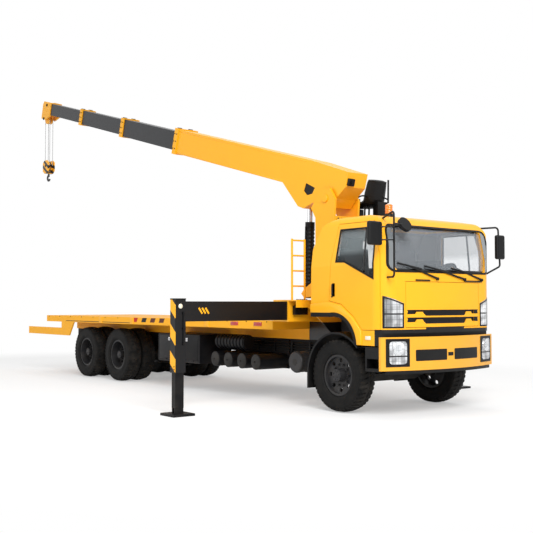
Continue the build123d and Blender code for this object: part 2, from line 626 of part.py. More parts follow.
# Tool box on the right, fuel tank on the left, and the silencer drum behind the right front wheel
BOX_FRONT = 3640
BOX_REAR = 5050
BOX_OUTER_Y = 1130
BOX_BOTTOM = 510
BOX_TOP = 1035
FUEL_FRONT = 2200
FUEL_REAR = 3900
FUEL_CORNER = 90
SILENCER_RADIUS = 165
SILENCER_Z = 665
SILENCER_OUTER_Y = 950

with BuildPart() as tool_box:
    block((FRONT_AXLE_X - BOX_REAR, FRONT_AXLE_X - BOX_FRONT), (-BOX_OUTER_Y, -RAIL_HALF_SPACING),
          (BOX_BOTTOM, BOX_TOP))
    fillet(tool_box.edges().filter_by(Axis.X).group_by(Axis.Y)[0], radius=FUEL_CORNER / 3)
save(tool_box, "tool_box")

with BuildPart() as fuel_tank:
    block((FRONT_AXLE_X - FUEL_REAR, FRONT_AXLE_X - FUEL_FRONT), (RAIL_HALF_SPACING, BOX_OUTER_Y),
          (BOX_BOTTOM, BOX_TOP))
    fillet(fuel_tank.edges().filter_by(Axis.X), radius=FUEL_CORNER)
save(fuel_tank, "fuel_tank")

with BuildPart() as silencer:
    cross_cylinder(COLUMN_X, SILENCER_Z, SILENCER_RADIUS, -SILENCER_OUTER_Y, -RAIL_HALF_SPACING)
    fillet(silencer.edges().group_by(Axis.Y)[0], radius=SILENCER_RADIUS / 6)
save(silencer, "silencer")

# Deck: a flat plate on cross bearers and two runners, edged by side rails, with tail posts and tail rails
RUNNER_WIDTH = RAIL_WIDTH
BEARER_COUNT = 9
BEARER_WIDTH = 80
DECK_UNDERSIDE = DECK_TOP - DECK_SIDE_HEIGHT
TAIL_POST_X = DECK_REAR_X + TAIL_POST_SETBACK
TAIL_POST_WIDTH = 160
TAIL_PLATE = 30
TAIL_SKIRT_LENGTH = 900

with BuildPart() as deck:
    block((DECK_REAR_X, DECK_FRONT_X), (-DECK_HALF_WIDTH, DECK_HALF_WIDTH), (DECK_TOP - DECK_PLATE, DECK_TOP))
    for side in SIDES.values():
        edge = sorted((side * (DECK_HALF_WIDTH - DECK_SIDE_WIDTH), side * DECK_HALF_WIDTH))
        block((DECK_REAR_X, DECK_FRONT_X), edge, (DECK_UNDERSIDE, DECK_TOP))
        runner = sorted((side * (RAIL_HALF_SPACING - RUNNER_WIDTH), side * RAIL_HALF_SPACING))
        block((DECK_REAR_X, DECK_FRONT_X), runner, (RAIL_TOP, DECK_TOP))
        tail_y = sorted((side * (DECK_HALF_WIDTH - TAIL_PLATE), side * DECK_HALF_WIDTH))
        block((TAIL_POST_X - TAIL_POST_WIDTH / 2, TAIL_POST_X + TAIL_POST_WIDTH / 2), edge,
              (TAIL_RAIL_BOTTOM, DECK_TOP))
        side_slab(
            (
                (TAIL_POST_X, DECK_UNDERSIDE), (TAIL_POST_X, TAIL_RAIL_BOTTOM),
                (TAIL_POST_X + TAIL_SKIRT_LENGTH * 0.35, TAIL_RAIL_BOTTOM),
                (TAIL_POST_X + TAIL_SKIRT_LENGTH * 0.6, DECK_UNDERSIDE),
            ),
            *tail_y,
        )
        block((TAIL_POST_X - TAIL_RAIL_LENGTH, TAIL_POST_X), edge,
              (TAIL_RAIL_BOTTOM, TAIL_RAIL_BOTTOM + TAIL_RAIL_HEIGHT))
    bearer_pitch = (DECK_LENGTH - BEARER_WIDTH) / (BEARER_COUNT - 1)
    for bearer in range(BEARER_COUNT):
        bearer_x = DECK_REAR_X + bearer * bearer_pitch
        block((bearer_x, bearer_x + BEARER_WIDTH), (-DECK_HALF_WIDTH, DECK_HALF_WIDTH), (DECK_UNDERSIDE, DECK_TOP))
save(deck, "deck")

# Crane base: a pedestal on the rails, and across it a housing with one tunnel for each outrigger beam
HOUSING_X = COLUMN_X - 45
BEAM_X = {"right": HOUSING_X + BEAM_STAGGER / 2, "left": HOUSING_X - BEAM_STAGGER / 2}
TUNNEL_WIDTH = BEAM_WIDTH + 2 * SLIDE_CLEARANCE
TUNNEL_HEIGHT = BEAM_HEIGHT + 2 * SLIDE_CLEARANCE
HOUSING_HALF_LENGTH = BEAM_STAGGER / 2 + TUNNEL_WIDTH / 2 + HOUSING_WALL
BEAM_Z = HOUSING_TOP - HOUSING_WALL - TUNNEL_HEIGHT / 2
HOUSING_BOTTOM = BEAM_Z - TUNNEL_HEIGHT / 2 - HOUSING_WALL
PEDESTAL_HALF_LENGTH = SLEW_RING_DIAMETER / 2
PEDESTAL_WALL = 25
GUSSET_REACH = 950
GUSSET_THICKNESS = 25

with BuildPart() as crane_base:
    block((HOUSING_X - HOUSING_HALF_LENGTH, HOUSING_X + HOUSING_HALF_LENGTH),
          (-HOUSING_HALF_WIDTH, HOUSING_HALF_WIDTH), (HOUSING_BOTTOM, HOUSING_TOP))
    block((COLUMN_X - PEDESTAL_HALF_LENGTH + 110, COLUMN_X + PEDESTAL_HALF_LENGTH),
          (-RAIL_HALF_SPACING, RAIL_HALF_SPACING), (RAIL_TOP, HOUSING_TOP))
    block((COLUMN_X - PEDESTAL_HALF_LENGTH + 110 + PEDESTAL_WALL, COLUMN_X + PEDESTAL_HALF_LENGTH - PEDESTAL_WALL),
          (-RAIL_HALF_SPACING + PEDESTAL_WALL, RAIL_HALF_SPACING - PEDESTAL_WALL),
          (RAIL_TOP, HOUSING_BOTTOM), mode=Mode.SUBTRACT)
    with Locations((COLUMN_X, 0, HOUSING_TOP + SLEW_RING_HEIGHT / 2)):
        Cylinder(SLEW_RING_DIAMETER / 2, SLEW_RING_HEIGHT)
    for side in SIDES.values():
        with BuildSketch(Plane.YZ.offset(COLUMN_X + PEDESTAL_HALF_LENGTH - GUSSET_THICKNESS)) as gusset:
            with BuildLine():
                Polyline(
                    (side * RAIL_HALF_SPACING, RAIL_TOP + 90), (side * GUSSET_REACH, HOUSING_TOP - 120),
                    (side * HOUSING_HALF_WIDTH, HOUSING_TOP - 120), (side * HOUSING_HALF_WIDTH, HOUSING_TOP),
                    (side * RAIL_HALF_SPACING, HOUSING_TOP), close=True,
                )
            make_face()
        extrude(gusset.sketch, amount=GUSSET_THICKNESS)
        shelf = sorted((side * RAIL_HALF_SPACING, side * HOUSING_HALF_WIDTH))
        block((HOUSING_X + HOUSING_HALF_LENGTH, COLUMN_X + PEDESTAL_HALF_LENGTH), shelf,
              (HOUSING_TOP - HOUSING_WALL, HOUSING_TOP))
    for side_name, side in SIDES.items():
        far_wall = -side * (HOUSING_HALF_WIDTH - HOUSING_WALL)
        pad_end = side * (HOUSING_HALF_WIDTH - PAD_LENGTH)
        tunnel = sorted((far_wall, pad_end))
        block((BEAM_X[side_name] - TUNNEL_WIDTH / 2, BEAM_X[side_name] + TUNNEL_WIDTH / 2), tunnel,
              (BEAM_Z - TUNNEL_HEIGHT / 2, BEAM_Z + TUNNEL_HEIGHT / 2), mode=Mode.SUBTRACT)
        mouth = sorted((pad_end, side * HOUSING_HALF_WIDTH))
        half_w = BEAM_WIDTH / 2 + PAD_CLEARANCE
        half_h = BEAM_HEIGHT / 2 + PAD_CLEARANCE
        block((BEAM_X[side_name] - half_w, BEAM_X[side_name] + half_w), mouth,
              (BEAM_Z - half_h, BEAM_Z + half_h), mode=Mode.SUBTRACT)
save(crane_base, "crane_base")

# Outriggers: a sliding box beam that carries an upright leg tube, and a jack with its foot in that tube
JACK_WIDTH = LEG_WIDTH - 2 * BEAM_WALL - 2 * SLIDE_CLEARANCE
JACK_DEPTH = LEG_DEPTH - 2 * BEAM_WALL - 2 * SLIDE_CLEARANCE
JACK_TOP = 1090
FOOT_NECK = 110
LEG_CENTRE = BEAM_REACH + LEG_DEPTH / 2

for side_name, side in SIDES.items():
    leg_x = (BEAM_X[side_name] - LEG_WIDTH / 2, BEAM_X[side_name] + LEG_WIDTH / 2)
    leg_y = sorted((side * BEAM_REACH, side * (BEAM_REACH + LEG_DEPTH)))
    with BuildPart() as outrigger_beam:
        beam_y = sorted((side * (BEAM_REACH - BEAM_LENGTH), side * BEAM_REACH))
        block((BEAM_X[side_name] - BEAM_WIDTH / 2, BEAM_X[side_name] + BEAM_WIDTH / 2), beam_y,
              (BEAM_Z - BEAM_HEIGHT / 2, BEAM_Z + BEAM_HEIGHT / 2))
        hollow_y = sorted((side * (BEAM_REACH - BEAM_LENGTH), side * (BEAM_REACH - BEAM_WALL)))
        block((BEAM_X[side_name] - BEAM_WIDTH / 2 + BEAM_WALL, BEAM_X[side_name] + BEAM_WIDTH / 2 - BEAM_WALL),
              hollow_y, (BEAM_Z - BEAM_HEIGHT / 2 + BEAM_WALL, BEAM_Z + BEAM_HEIGHT / 2 - BEAM_WALL),
              mode=Mode.SUBTRACT)
        block(leg_x, leg_y, (LEG_BOTTOM, LEG_TOP))
        with Locations((BEAM_X[side_name], side * LEG_CENTRE, (LEG_BOTTOM + PAD_LENGTH + LEG_TOP - BEAM_WALL) / 2)):
            Box(LEG_WIDTH - 2 * BEAM_WALL, LEG_DEPTH - 2 * BEAM_WALL,
                LEG_TOP - BEAM_WALL - LEG_BOTTOM - PAD_LENGTH, mode=Mode.SUBTRACT)
        with Locations((BEAM_X[side_name], side * LEG_CENTRE, LEG_BOTTOM + PAD_LENGTH / 2)):
            Box(JACK_WIDTH + 2 * PAD_CLEARANCE, JACK_DEPTH + 2 * PAD_CLEARANCE, PAD_LENGTH, mode=Mode.SUBTRACT)
    save(outrigger_beam, f"outrigger_beam_{side_name}")
    with BuildPart() as jack:
        with Locations((BEAM_X[side_name], side * LEG_CENTRE, (FOOT_NECK + JACK_TOP) / 2)):
            Box(JACK_WIDTH, JACK_DEPTH, JACK_TOP - FOOT_NECK)
        with Locations((BEAM_X[side_name], side * LEG_CENTRE, FOOT_THICKNESS / 2)):
            Box(FOOT_SIZE, FOOT_SIZE, FOOT_THICKNESS)
        chamfer(jack.edges().group_by(Axis.Z)[-1], length=JACK_WALL)
        for ear in (-1, 1):
            with Locations((BEAM_X[side_name] + ear * JACK_WIDTH / 3, side * LEG_CENTRE, (FOOT_NECK + FOOT_THICKNESS) / 2)):
                Box(JACK_WALL * 2, JACK_DEPTH, FOOT_NECK - FOOT_THICKNESS)
    save(jack, f"outrigger_jack_{side_name}")

# Ladder: two stringers and four rungs that stand on the crane base's shelf
LADDER_HEIGHT = 960
LADDER_WIDTH = 260
LADDER_TUBE = 17
LADDER_RUNGS = 4
LADDER_X = HOUSING_X + HOUSING_HALF_LENGTH + 45
LADDER_Y = -HOUSING_HALF_WIDTH + 40

with BuildPart() as ladder:
    for stringer in (0, LADDER_WIDTH):
        with Locations((LADDER_X, LADDER_Y + stringer, HOUSING_TOP + LADDER_HEIGHT / 2)):
            Cylinder(LADDER_TUBE, LADDER_HEIGHT)
    for rung in range(LADDER_RUNGS):
        rung_z = HOUSING_TOP + (rung + 0.9) * LADDER_HEIGHT / LADDER_RUNGS
        cross_cylinder(LADDER_X, rung_z, LADDER_TUBE * 0.8, LADDER_Y, LADDER_Y + LADDER_WIDTH)
save(ladder, "ladder")

# Crane column: a box post on the slew ring, cheeks that hold the boom's pin, and ears for the lift cylinder
COLUMN_FOOT = HOUSING_TOP + SLEW_RING_HEIGHT
COLUMN_CROWN = 3030
COLUMN_WALL = 30
CHEEK_TOP = PIVOT_HEIGHT + 165
COLUMN_BACK_X = COLUMN_X - COLUMN_DEPTH / 2 - 20
COLUMN_FRONT_X = COLUMN_X + COLUMN_DEPTH / 2 - 20
CYLINDER_FOOT_X = FRONT_AXLE_X - 1950
CYLINDER_FOOT_Z = 1765
CYLINDER_PIN = 36
EAR_GAP = 68
EAR_THICKNESS = 40
EAR_BOTTOM = HOUSING_TOP + 45

with BuildPart() as crane_column:
    block((COLUMN_BACK_X, COLUMN_FRONT_X), (-COLUMN_HALF_WIDTH, COLUMN_HALF_WIDTH), (COLUMN_FOOT, COLUMN_CROWN))
    block((COLUMN_BACK_X + COLUMN_WALL, COLUMN_FRONT_X - COLUMN_WALL),
          (-COLUMN_HALF_WIDTH + COLUMN_WALL, COLUMN_HALF_WIDTH - COLUMN_WALL),
          (COLUMN_FOOT + COLUMN_WALL, COLUMN_CROWN - COLUMN_WALL), mode=Mode.SUBTRACT)
    for side in SIDES.values():
        cheek_y = sorted((side * (COLUMN_HALF_WIDTH - CHEEK_THICKNESS), side * COLUMN_HALF_WIDTH))
        side_slab(
            (
                (COLUMN_BACK_X, COLUMN_CROWN - 1), (COLUMN_BACK_X - 110, PIVOT_HEIGHT - 130),
                (COLUMN_X - 120, CHEEK_TOP), (COLUMN_X + 110, CHEEK_TOP),
                (COLUMN_FRONT_X + 20, PIVOT_HEIGHT - 20), (COLUMN_FRONT_X, COLUMN_CROWN - 1),
            ),
            *cheek_y,
        )
        ear_y = sorted((side * EAR_GAP, side * (EAR_GAP + EAR_THICKNESS)))
        side_slab(
            (
                (COLUMN_BACK_X + 1, EAR_BOTTOM + 420), (COLUMN_BACK_X + 1, EAR_BOTTOM + 30),
                (CYLINDER_FOOT_X, EAR_BOTTOM), (CYLINDER_FOOT_X - 75, CYLINDER_FOOT_Z),
                (CYLINDER_FOOT_X, CYLINDER_FOOT_Z + 80),
            ),
            *ear_y,
        )
    cross_cylinder(COLUMN_X, PIVOT_HEIGHT, PIVOT_DIAMETER / 2, -COLUMN_HALF_WIDTH - 15, COLUMN_HALF_WIDTH + 15)
    cross_cylinder(CYLINDER_FOOT_X, CYLINDER_FOOT_Z, CYLINDER_PIN, -EAR_GAP - EAR_THICKNESS, EAR_GAP + EAR_THICKNESS)
save(crane_column, "crane_column")

# Operator's seat: a bracket on the column's left side with a floor, a lever box, a cushion and a back
SEAT_FLOOR = 2990
SEAT_INNER_Y = COLUMN_HALF_WIDTH
SEAT_OUTER_Y = 860
SEAT_BACK_X = COLUMN_X + 330
SEAT_PLATE = 30

with BuildPart() as operator_seat:
    block((COLUMN_X - 190, SEAT_BACK_X), (SEAT_INNER_Y, SEAT_OUTER_Y), (SEAT_FLOOR, SEAT_FLOOR + SEAT_PLATE))
    block((COLUMN_X - 150, COLUMN_FRONT_X), (SEAT_INNER_Y, SEAT_INNER_Y + SEAT_PLATE),
          (SEAT_FLOOR - 300, SEAT_FLOOR))
    seat_y = (SEAT_OUTER_Y - 470, SEAT_OUTER_Y - 20)
    block((COLUMN_X - 30, COLUMN_X + 200), (seat_y[0] + 100, seat_y[1] - 100), (SEAT_FLOOR + SEAT_PLATE, SEAT_FLOOR + 260))
    side_slab(
        (
            (COLUMN_X - 150, SEAT_FLOOR + 260), (COLUMN_X + 300, SEAT_FLOOR + 250), (SEAT_BACK_X + 60, SEAT_FLOOR + 690),
            (SEAT_BACK_X - 30, SEAT_FLOOR + 690), (COLUMN_X + 220, SEAT_FLOOR + 350), (COLUMN_X - 150, SEAT_FLOOR + 340),
        ),
        *seat_y,
    )
    block((COLUMN_X - 190, COLUMN_X - 110), (SEAT_INNER_Y + 60, SEAT_OUTER_Y - 150),
          (SEAT_FLOOR + SEAT_PLATE, SEAT_FLOOR + 230))
save(operator_seat, "operator_seat")


# Boom: drawn along its own line, u back and up from the pivot and v square to it


def boom_point(u, v):
    """Give the X and Z of a point that lies u along the boom and v above its pivot line."""
    return (COLUMN_X - u * BOOM_COS + v * BOOM_SIN, PIVOT_HEIGHT + u * BOOM_SIN + v * BOOM_COS)


def boom_slab(points, half_width, mode=Mode.ADD):
    """Extrude an outline given in boom lengths and heights to both sides of the middle plane."""
    side_slab([boom_point(u, v) for u, v in points], -half_width, half_width, mode=mode)


def boom_box(u_range, height, half_width, mode=Mode.ADD):
    """Add a box of the given height, centred on the boom's axis, to the part in hand."""
    low, high = BOOM_AXIS - height / 2, BOOM_AXIS + height / 2
    boom_slab(((u_range[0], low), (u_range[1], low), (u_range[1], high), (u_range[0], high)), half_width, mode)


BASE_BOTTOM = BOOM_AXIS - BASE_HEIGHT / 2
BASE_TOP = BOOM_AXIS + BASE_HEIGHT / 2
BASE_CAVITY_START = 720
LUG_SLOT = 85
EYE_RADIUS = 62

with BuildPart() as boom_base:
    boom_slab(
        (
            (-BOOM_TAIL, BASE_TOP - 50), (600, BASE_TOP), (BASE_LENGTH, BASE_TOP), (BASE_LENGTH, BASE_BOTTOM),
            (1260, BASE_BOTTOM), (935, -140), (LUG_U + 60, LUG_V - 75), (LUG_U - 90, LUG_V - 85),
            (350, -125), (-110, -125), (-190, 40), (-BOOM_TAIL, BASE_BOTTOM + 200),
        ),
        BASE_WIDTH / 2,
    )
    collar_start = BASE_LENGTH - COLLAR_LENGTH
    boom_box((collar_start, BASE_LENGTH), BASE_HEIGHT + COLLAR_PROUD, BASE_WIDTH / 2 + COLLAR_PROUD / 2)
    boom_box((BASE_CAVITY_START, collar_start), BASE_HEIGHT - 2 * BOOM_WALL, BASE_WIDTH / 2 - BOOM_WALL, Mode.SUBTRACT)
    boom_box((collar_start, BASE_LENGTH), SECTION_HEIGHTS[0] + 2 * PAD_CLEARANCE,
             SECTION_WIDTHS[0] / 2 + PAD_CLEARANCE, Mode.SUBTRACT)
    boom_slab(((LUG_U - 300, LUG_V - 120), (1250, LUG_V - 120), (1250, BASE_BOTTOM - 20), (LUG_U - 300, BASE_BOTTOM - 20)),
              LUG_SLOT, Mode.SUBTRACT)
    boom_slab(((630, 160), (380, 120), (420, 10), (545, -40), (655, 20)), BASE_WIDTH, Mode.SUBTRACT)
    pivot_x, pivot_z = boom_point(0, 0)
    cross_cylinder(pivot_x, pivot_z, PIVOT_DIAMETER / 2 + BEARING_CLEARANCE, -BASE_WIDTH, BASE_WIDTH, Mode.SUBTRACT)
save(boom_base, "boom_base")

# Boom sections: three box tubes, each run out of the one before it through that one's collar
SHEAVE_Y = 42
SHEAVE_THICKNESS = 40
HEAD_CHEEK = 22
HEAD_OPENING = 95

for number in (0, 1):
    with BuildPart() as boom_section:
        height, width = SECTION_HEIGHTS[number], SECTION_WIDTHS[number]
        start, end = SECTION_STARTS[number], SECTION_ENDS[number]
        boom_box((start, end), height, width / 2)
        boom_box((end - COLLAR_LENGTH, end), height + COLLAR_PROUD, width / 2 + COLLAR_PROUD / 2)
        boom_box((start, end - COLLAR_LENGTH), height - 2 * BOOM_WALL, width / 2 - BOOM_WALL, Mode.SUBTRACT)
        boom_box((end - COLLAR_LENGTH, end), SECTION_HEIGHTS[number + 1] + 2 * PAD_CLEARANCE,
                 SECTION_WIDTHS[number + 1] / 2 + PAD_CLEARANCE, Mode.SUBTRACT)
    save(boom_section, f"boom_section_{number + 1}")

with BuildPart() as boom_section:
    height, width = SECTION_HEIGHTS[2], SECTION_WIDTHS[2]
    boom_box((SECTION_STARTS[2], SECTION_ENDS[2]), height, width / 2)
    boom_box((SECTION_STARTS[2], SECTION_ENDS[2] - HEAD_CHEEK), height - 2 * BOOM_WALL, width / 2 - BOOM_WALL, Mode.SUBTRACT)
    head_top = BOOM_AXIS + height / 2
    boom_slab(
        (
            (SECTION_ENDS[2] - 90, head_top + 25), (TIP_U - 60, head_top + 25), (TIP_U, head_top - 60),
            (TIP_U, head_top + 25 - HEAD_DROP), (TIP_U - 250, head_top + 25 - HEAD_DROP),
            (SECTION_ENDS[2] - 90, head_top - height - 25),
        ),
        width / 2 + HEAD_CHEEK,
    )
    boom_box((SECTION_STARTS[2], SECTION_ENDS[2] - HEAD_CHEEK), height - 2 * BOOM_WALL, width / 2 - BOOM_WALL, Mode.SUBTRACT)
    boom_slab(
        (
            (SECTION_ENDS[2], head_top + 60), (TIP_U + 60, head_top + 60), (TIP_U + 60, head_top - HEAD_DROP - 60),
            (SECTION_ENDS[2] - HEAD_OPENING, head_top - HEAD_DROP - 60),
            (SECTION_ENDS[2] - HEAD_OPENING, head_top - height - HEAD_CHEEK),
            (SECTION_ENDS[2], head_top - height - HEAD_CHEEK),
        ),
        width / 2 - HEAD_CHEEK, Mode.SUBTRACT,
    )
    sheave_x, sheave_z = boom_point(SHEAVE_U, SHEAVE_V)
    for lane in (-1, 1):
        lane_y = sorted((lane * (SHEAVE_Y - SHEAVE_THICKNESS / 2), lane * (SHEAVE_Y + SHEAVE_THICKNESS / 2)))
        cross_cylinder(sheave_x, sheave_z, SHEAVE_RADIUS, *lane_y)
    cross_cylinder(sheave_x, sheave_z, HEAD_CHEEK, -width / 2 - HEAD_CHEEK, width / 2 + HEAD_CHEEK)
save(boom_section, "boom_section_3")

# Hoist rope: four taut falls from the head's sheaves to the hook block
BLOCK_TOP = sheave_z - ROPE_FALL
BLOCK_SHEAVE_Z = BLOCK_TOP - SHEAVE_RADIUS - 20

with BuildPart() as hoist_rope:
    for lane in (-1, 1):
        for fall in (-1, 1):
            with Locations((sheave_x + fall * ROPE_OFFSET, lane * SHEAVE_Y, (sheave_z + BLOCK_SHEAVE_Z) / 2)):
                Cylinder(ROPE_RADIUS, sheave_z - BLOCK_SHEAVE_Z)
save(hoist_rope, "hoist_rope")

# Hook block: two sheaves between weighted cheeks, and a hook under them
BLOCK_CHEEK = 30
BLOCK_CHEEK_Y = SHEAVE_Y + SHEAVE_THICKNESS / 2 + 6
HOOK_RADIUS = 70
HOOK_STOCK = 24
HOOK_Z = BLOCK_SHEAVE_Z - SHEAVE_RADIUS - 60 - HOOK_RADIUS - 60

with BuildPart() as hook_block:
    for lane in (-1, 1):
        lane_y = sorted((lane * (SHEAVE_Y - SHEAVE_THICKNESS / 2), lane * (SHEAVE_Y + SHEAVE_THICKNESS / 2)))
        cross_cylinder(sheave_x, BLOCK_SHEAVE_Z, SHEAVE_RADIUS, *lane_y)
        cheek_y = sorted((lane * BLOCK_CHEEK_Y, lane * (BLOCK_CHEEK_Y + BLOCK_CHEEK)))
        side_slab(
            (
                (sheave_x - BLOCK_HALF_WIDTH, BLOCK_TOP - 60), (sheave_x - BLOCK_HALF_WIDTH / 2, BLOCK_TOP),
                (sheave_x + BLOCK_HALF_WIDTH / 2, BLOCK_TOP), (sheave_x + BLOCK_HALF_WIDTH, BLOCK_TOP - 60),
                (sheave_x + BLOCK_HALF_WIDTH, BLOCK_SHEAVE_Z - SHEAVE_RADIUS),
                (sheave_x + 60, BLOCK_SHEAVE_Z - SHEAVE_RADIUS - 70),
                (sheave_x - 60, BLOCK_SHEAVE_Z - SHEAVE_RADIUS - 70),
                (sheave_x - BLOCK_HALF_WIDTH, BLOCK_SHEAVE_Z - SHEAVE_RADIUS),
            ),
            *cheek_y,
        )
    cross_cylinder(sheave_x, BLOCK_SHEAVE_Z, HEAD_CHEEK, -BLOCK_CHEEK_Y, BLOCK_CHEEK_Y)
    block((sheave_x - 45, sheave_x + 45), (-BLOCK_CHEEK_Y, BLOCK_CHEEK_Y),
          (BLOCK_SHEAVE_Z - SHEAVE_RADIUS - 70, BLOCK_SHEAVE_Z - SHEAVE_RADIUS - 15))
    shank_top = BLOCK_SHEAVE_Z - SHEAVE_RADIUS - 40
    hook_plane = Plane(origin=(sheave_x, 0, HOOK_Z), x_dir=(1, 0, 0), z_dir=(0, -1, 0))
    with BuildLine(hook_plane) as hook_path:
        CenterArc((0, 0), HOOK_RADIUS, 90, 245)
    with BuildSketch(Plane(origin=hook_path.line @ 0, z_dir=hook_path.line % 0)):
        Circle(HOOK_STOCK)
    sweep(path=hook_path.line)
    with Locations((sheave_x, 0, (HOOK_Z + HOOK_RADIUS + shank_top) / 2)):
        Cylinder(HOOK_STOCK, shank_top - HOOK_Z - HOOK_RADIUS)
save(hook_block, "hook_block")

# Lift cylinder: a barrel on the column's ears and a rod whose eye lies in the boom's lug
LUG_POINT = boom_point(LUG_U, LUG_V)
CYLINDER_SPAN = Vector(LUG_POINT[0] - CYLINDER_FOOT_X, 0, LUG_POINT[1] - CYLINDER_FOOT_Z)
BARREL_RADIUS = 74
ROD_RADIUS = 45
BARREL_LENGTH = 1240
ROD_LENGTH = 1000
CYLINDER_EYE_WIDTH = EAR_GAP - 5
CYLINDER_PLANE = Plane(origin=(CYLINDER_FOOT_X, 0, CYLINDER_FOOT_Z), x_dir=(0, 1, 0), z_dir=CYLINDER_SPAN)

with BuildPart() as lift_barrel:
    with BuildSketch(CYLINDER_PLANE):
        Circle(BARREL_RADIUS)
    extrude(amount=BARREL_LENGTH)
    with BuildSketch(CYLINDER_PLANE.offset(BARREL_LENGTH - 110)):
        Circle(BARREL_RADIUS + 9)
    extrude(amount=110)
    with BuildSketch(CYLINDER_PLANE.offset(CYLINDER_SPAN.length - ROD_LENGTH - 240)):
        Circle(ROD_RADIUS + PAD_CLEARANCE)
    extrude(amount=BARREL_LENGTH, mode=Mode.SUBTRACT)
    cross_cylinder(CYLINDER_FOOT_X, CYLINDER_FOOT_Z, BARREL_RADIUS + 4, -CYLINDER_EYE_WIDTH, CYLINDER_EYE_WIDTH)
    for side in SIDES.values():
        trim = sorted((side * CYLINDER_EYE_WIDTH, side * 2 * CYLINDER_EYE_WIDTH))
        block((CYLINDER_FOOT_X - 200, CYLINDER_FOOT_X + 200), trim, (CYLINDER_FOOT_Z - 200, CYLINDER_FOOT_Z + 150),
              mode=Mode.SUBTRACT)
    cross_cylinder(CYLINDER_FOOT_X, CYLINDER_FOOT_Z, CYLINDER_PIN + BEARING_CLEARANCE,
                   -2 * CYLINDER_EYE_WIDTH, 2 * CYLINDER_EYE_WIDTH, Mode.SUBTRACT)
save(lift_barrel, "lift_barrel")

with BuildPart() as lift_rod:
    with BuildSketch(CYLINDER_PLANE.offset(CYLINDER_SPAN.length - ROD_LENGTH)):
        Circle(ROD_RADIUS)
    extrude(amount=ROD_LENGTH - EYE_RADIUS / 2)
    cross_cylinder(*LUG_POINT, EYE_RADIUS, -CYLINDER_EYE_WIDTH, CYLINDER_EYE_WIDTH)
    cross_cylinder(*LUG_POINT, CYLINDER_PIN, -CYLINDER_EYE_WIDTH, CYLINDER_EYE_WIDTH, Mode.SUBTRACT)
save(lift_rod, "lift_rod")


# Cab: one hull, drawn from the side, from above and from the front, gives every panel its outside and inside
HULL_SIDE = (
    (-90, CAB_ARCH_TOP), (-CAB_REAR, CAB_ARCH_TOP), (-CAB_REAR + 15, CAB_ROOF - 470),
    (-CAB_REAR + 190, CAB_ROOF - 130), (-80, CAB_ROOF - 20), (480, CAB_ROOF), (800, CAB_ROOF - 60),
    (CAB_FRONT - 165, CAB_ROOF - 190), (CAB_FRONT - 15, 2010), (CAB_FRONT, 1600), (CAB_FRONT - 10, 1180),
    (925, 1180), (925, CAB_SILL), (478, CAB_SILL),
)
HULL_EDGE_RADIUS = 170
ARCH_MIDDLE = (325, 1330)
HULL_CORNER = 330
HULL_BOW = 60
TUMBLEHOME = 70
SHOULDER = 2150


def hull_side_view(inset):
    """Draw the cab from the side, moved in by a distance, and return the face."""
    with BuildSketch(Plane.XZ.offset(-CAB_HALF_WIDTH)) as side_view:
        with BuildLine():
            edge = Polyline(*[(FRONT_AXLE_X + x, z) for x, z in HULL_SIDE])
            ThreePointArc(edge @ 1, (FRONT_AXLE_X + ARCH_MIDDLE[0], ARCH_MIDDLE[1]), edge @ 0)
        make_face()
        if inset:
            offset(amount=-inset, kind=Kind.INTERSECTION, mode=Mode.REPLACE)
        upper = [corner for corner in side_view.vertices() if corner.Y > SHOULDER]
        fillet(upper, radius=HULL_EDGE_RADIUS - inset)
    return side_view.sketch


def hull_plan_view(inset):
    """Draw the cab from above, with its bowed front and round front corners, and return the face."""
    front_x = FRONT_AXLE_X + CAB_FRONT - inset
    back_x = FRONT_AXLE_X - CAB_REAR - 100
    half_width = CAB_HALF_WIDTH - inset
    corner_y = half_width - HULL_CORNER * 0.8
    with BuildSketch(Plane.XY) as plan_view:
        with BuildLine():
            Polyline(
                (front_x - HULL_CORNER, half_width), (back_x, half_width), (back_x, -half_width),
                (front_x - HULL_CORNER, -half_width),
            )
            for sign in (-1, 1):
                ThreePointArc(
                    (front_x - HULL_CORNER, sign * half_width),
                    (front_x - HULL_BOW - HULL_CORNER * 0.25, sign * (half_width - HULL_CORNER * 0.22)),
                    (front_x - HULL_BOW, sign * corner_y),
                )
            ThreePointArc((front_x - HULL_BOW, -corner_y), (front_x, 0), (front_x - HULL_BOW, corner_y))
        make_face()
    return plan_view.sketch


def hull_front_view(inset):
    """Draw the cab from the front, with sides that lean in to a crowned roof, and return the face."""
    half_width = CAB_HALF_WIDTH - inset
    roof = CAB_ROOF - inset
    eave = roof - 150
    top = half_width - TUMBLEHOME
    with BuildSketch(Plane.YZ) as front_view:
        with BuildLine():
            Polyline((-top, eave), (-half_width, SHOULDER), (-half_width, 0), (half_width, 0),
                     (half_width, SHOULDER), (top, eave))
            ThreePointArc((top, eave), (top - 55, roof - 55), (top - 190, roof - 12))
            ThreePointArc((top - 190, roof - 12), (0, roof), (190 - top, roof - 12))
            ThreePointArc((190 - top, roof - 12), (55 - top, roof - 55), (-top, eave))
        make_face()
    return front_view.sketch


def hull(inset=0.0):
    """Add the cab's outer form, moved in by a distance on every side, to the empty part in hand."""
    extrude(hull_side_view(inset), amount=2 * CAB_HALF_WIDTH)
    extrude(hull_plan_view(inset), amount=2 * CAB_ROOF, mode=Mode.INTERSECT)
    extrude(hull_front_view(inset), amount=4 * FRONT_AXLE_X, mode=Mode.INTERSECT)


def cab_skin(outer, inner):
    """Build the wall between two insets of the cab's hull and return it."""
    with BuildPart() as outside:
        hull(outer)
    with BuildPart() as inside:
        hull(inner)
    with BuildPart() as skin:
        add(outside.part)
        add(inside.part, mode=Mode.SUBTRACT)
    return skin.part


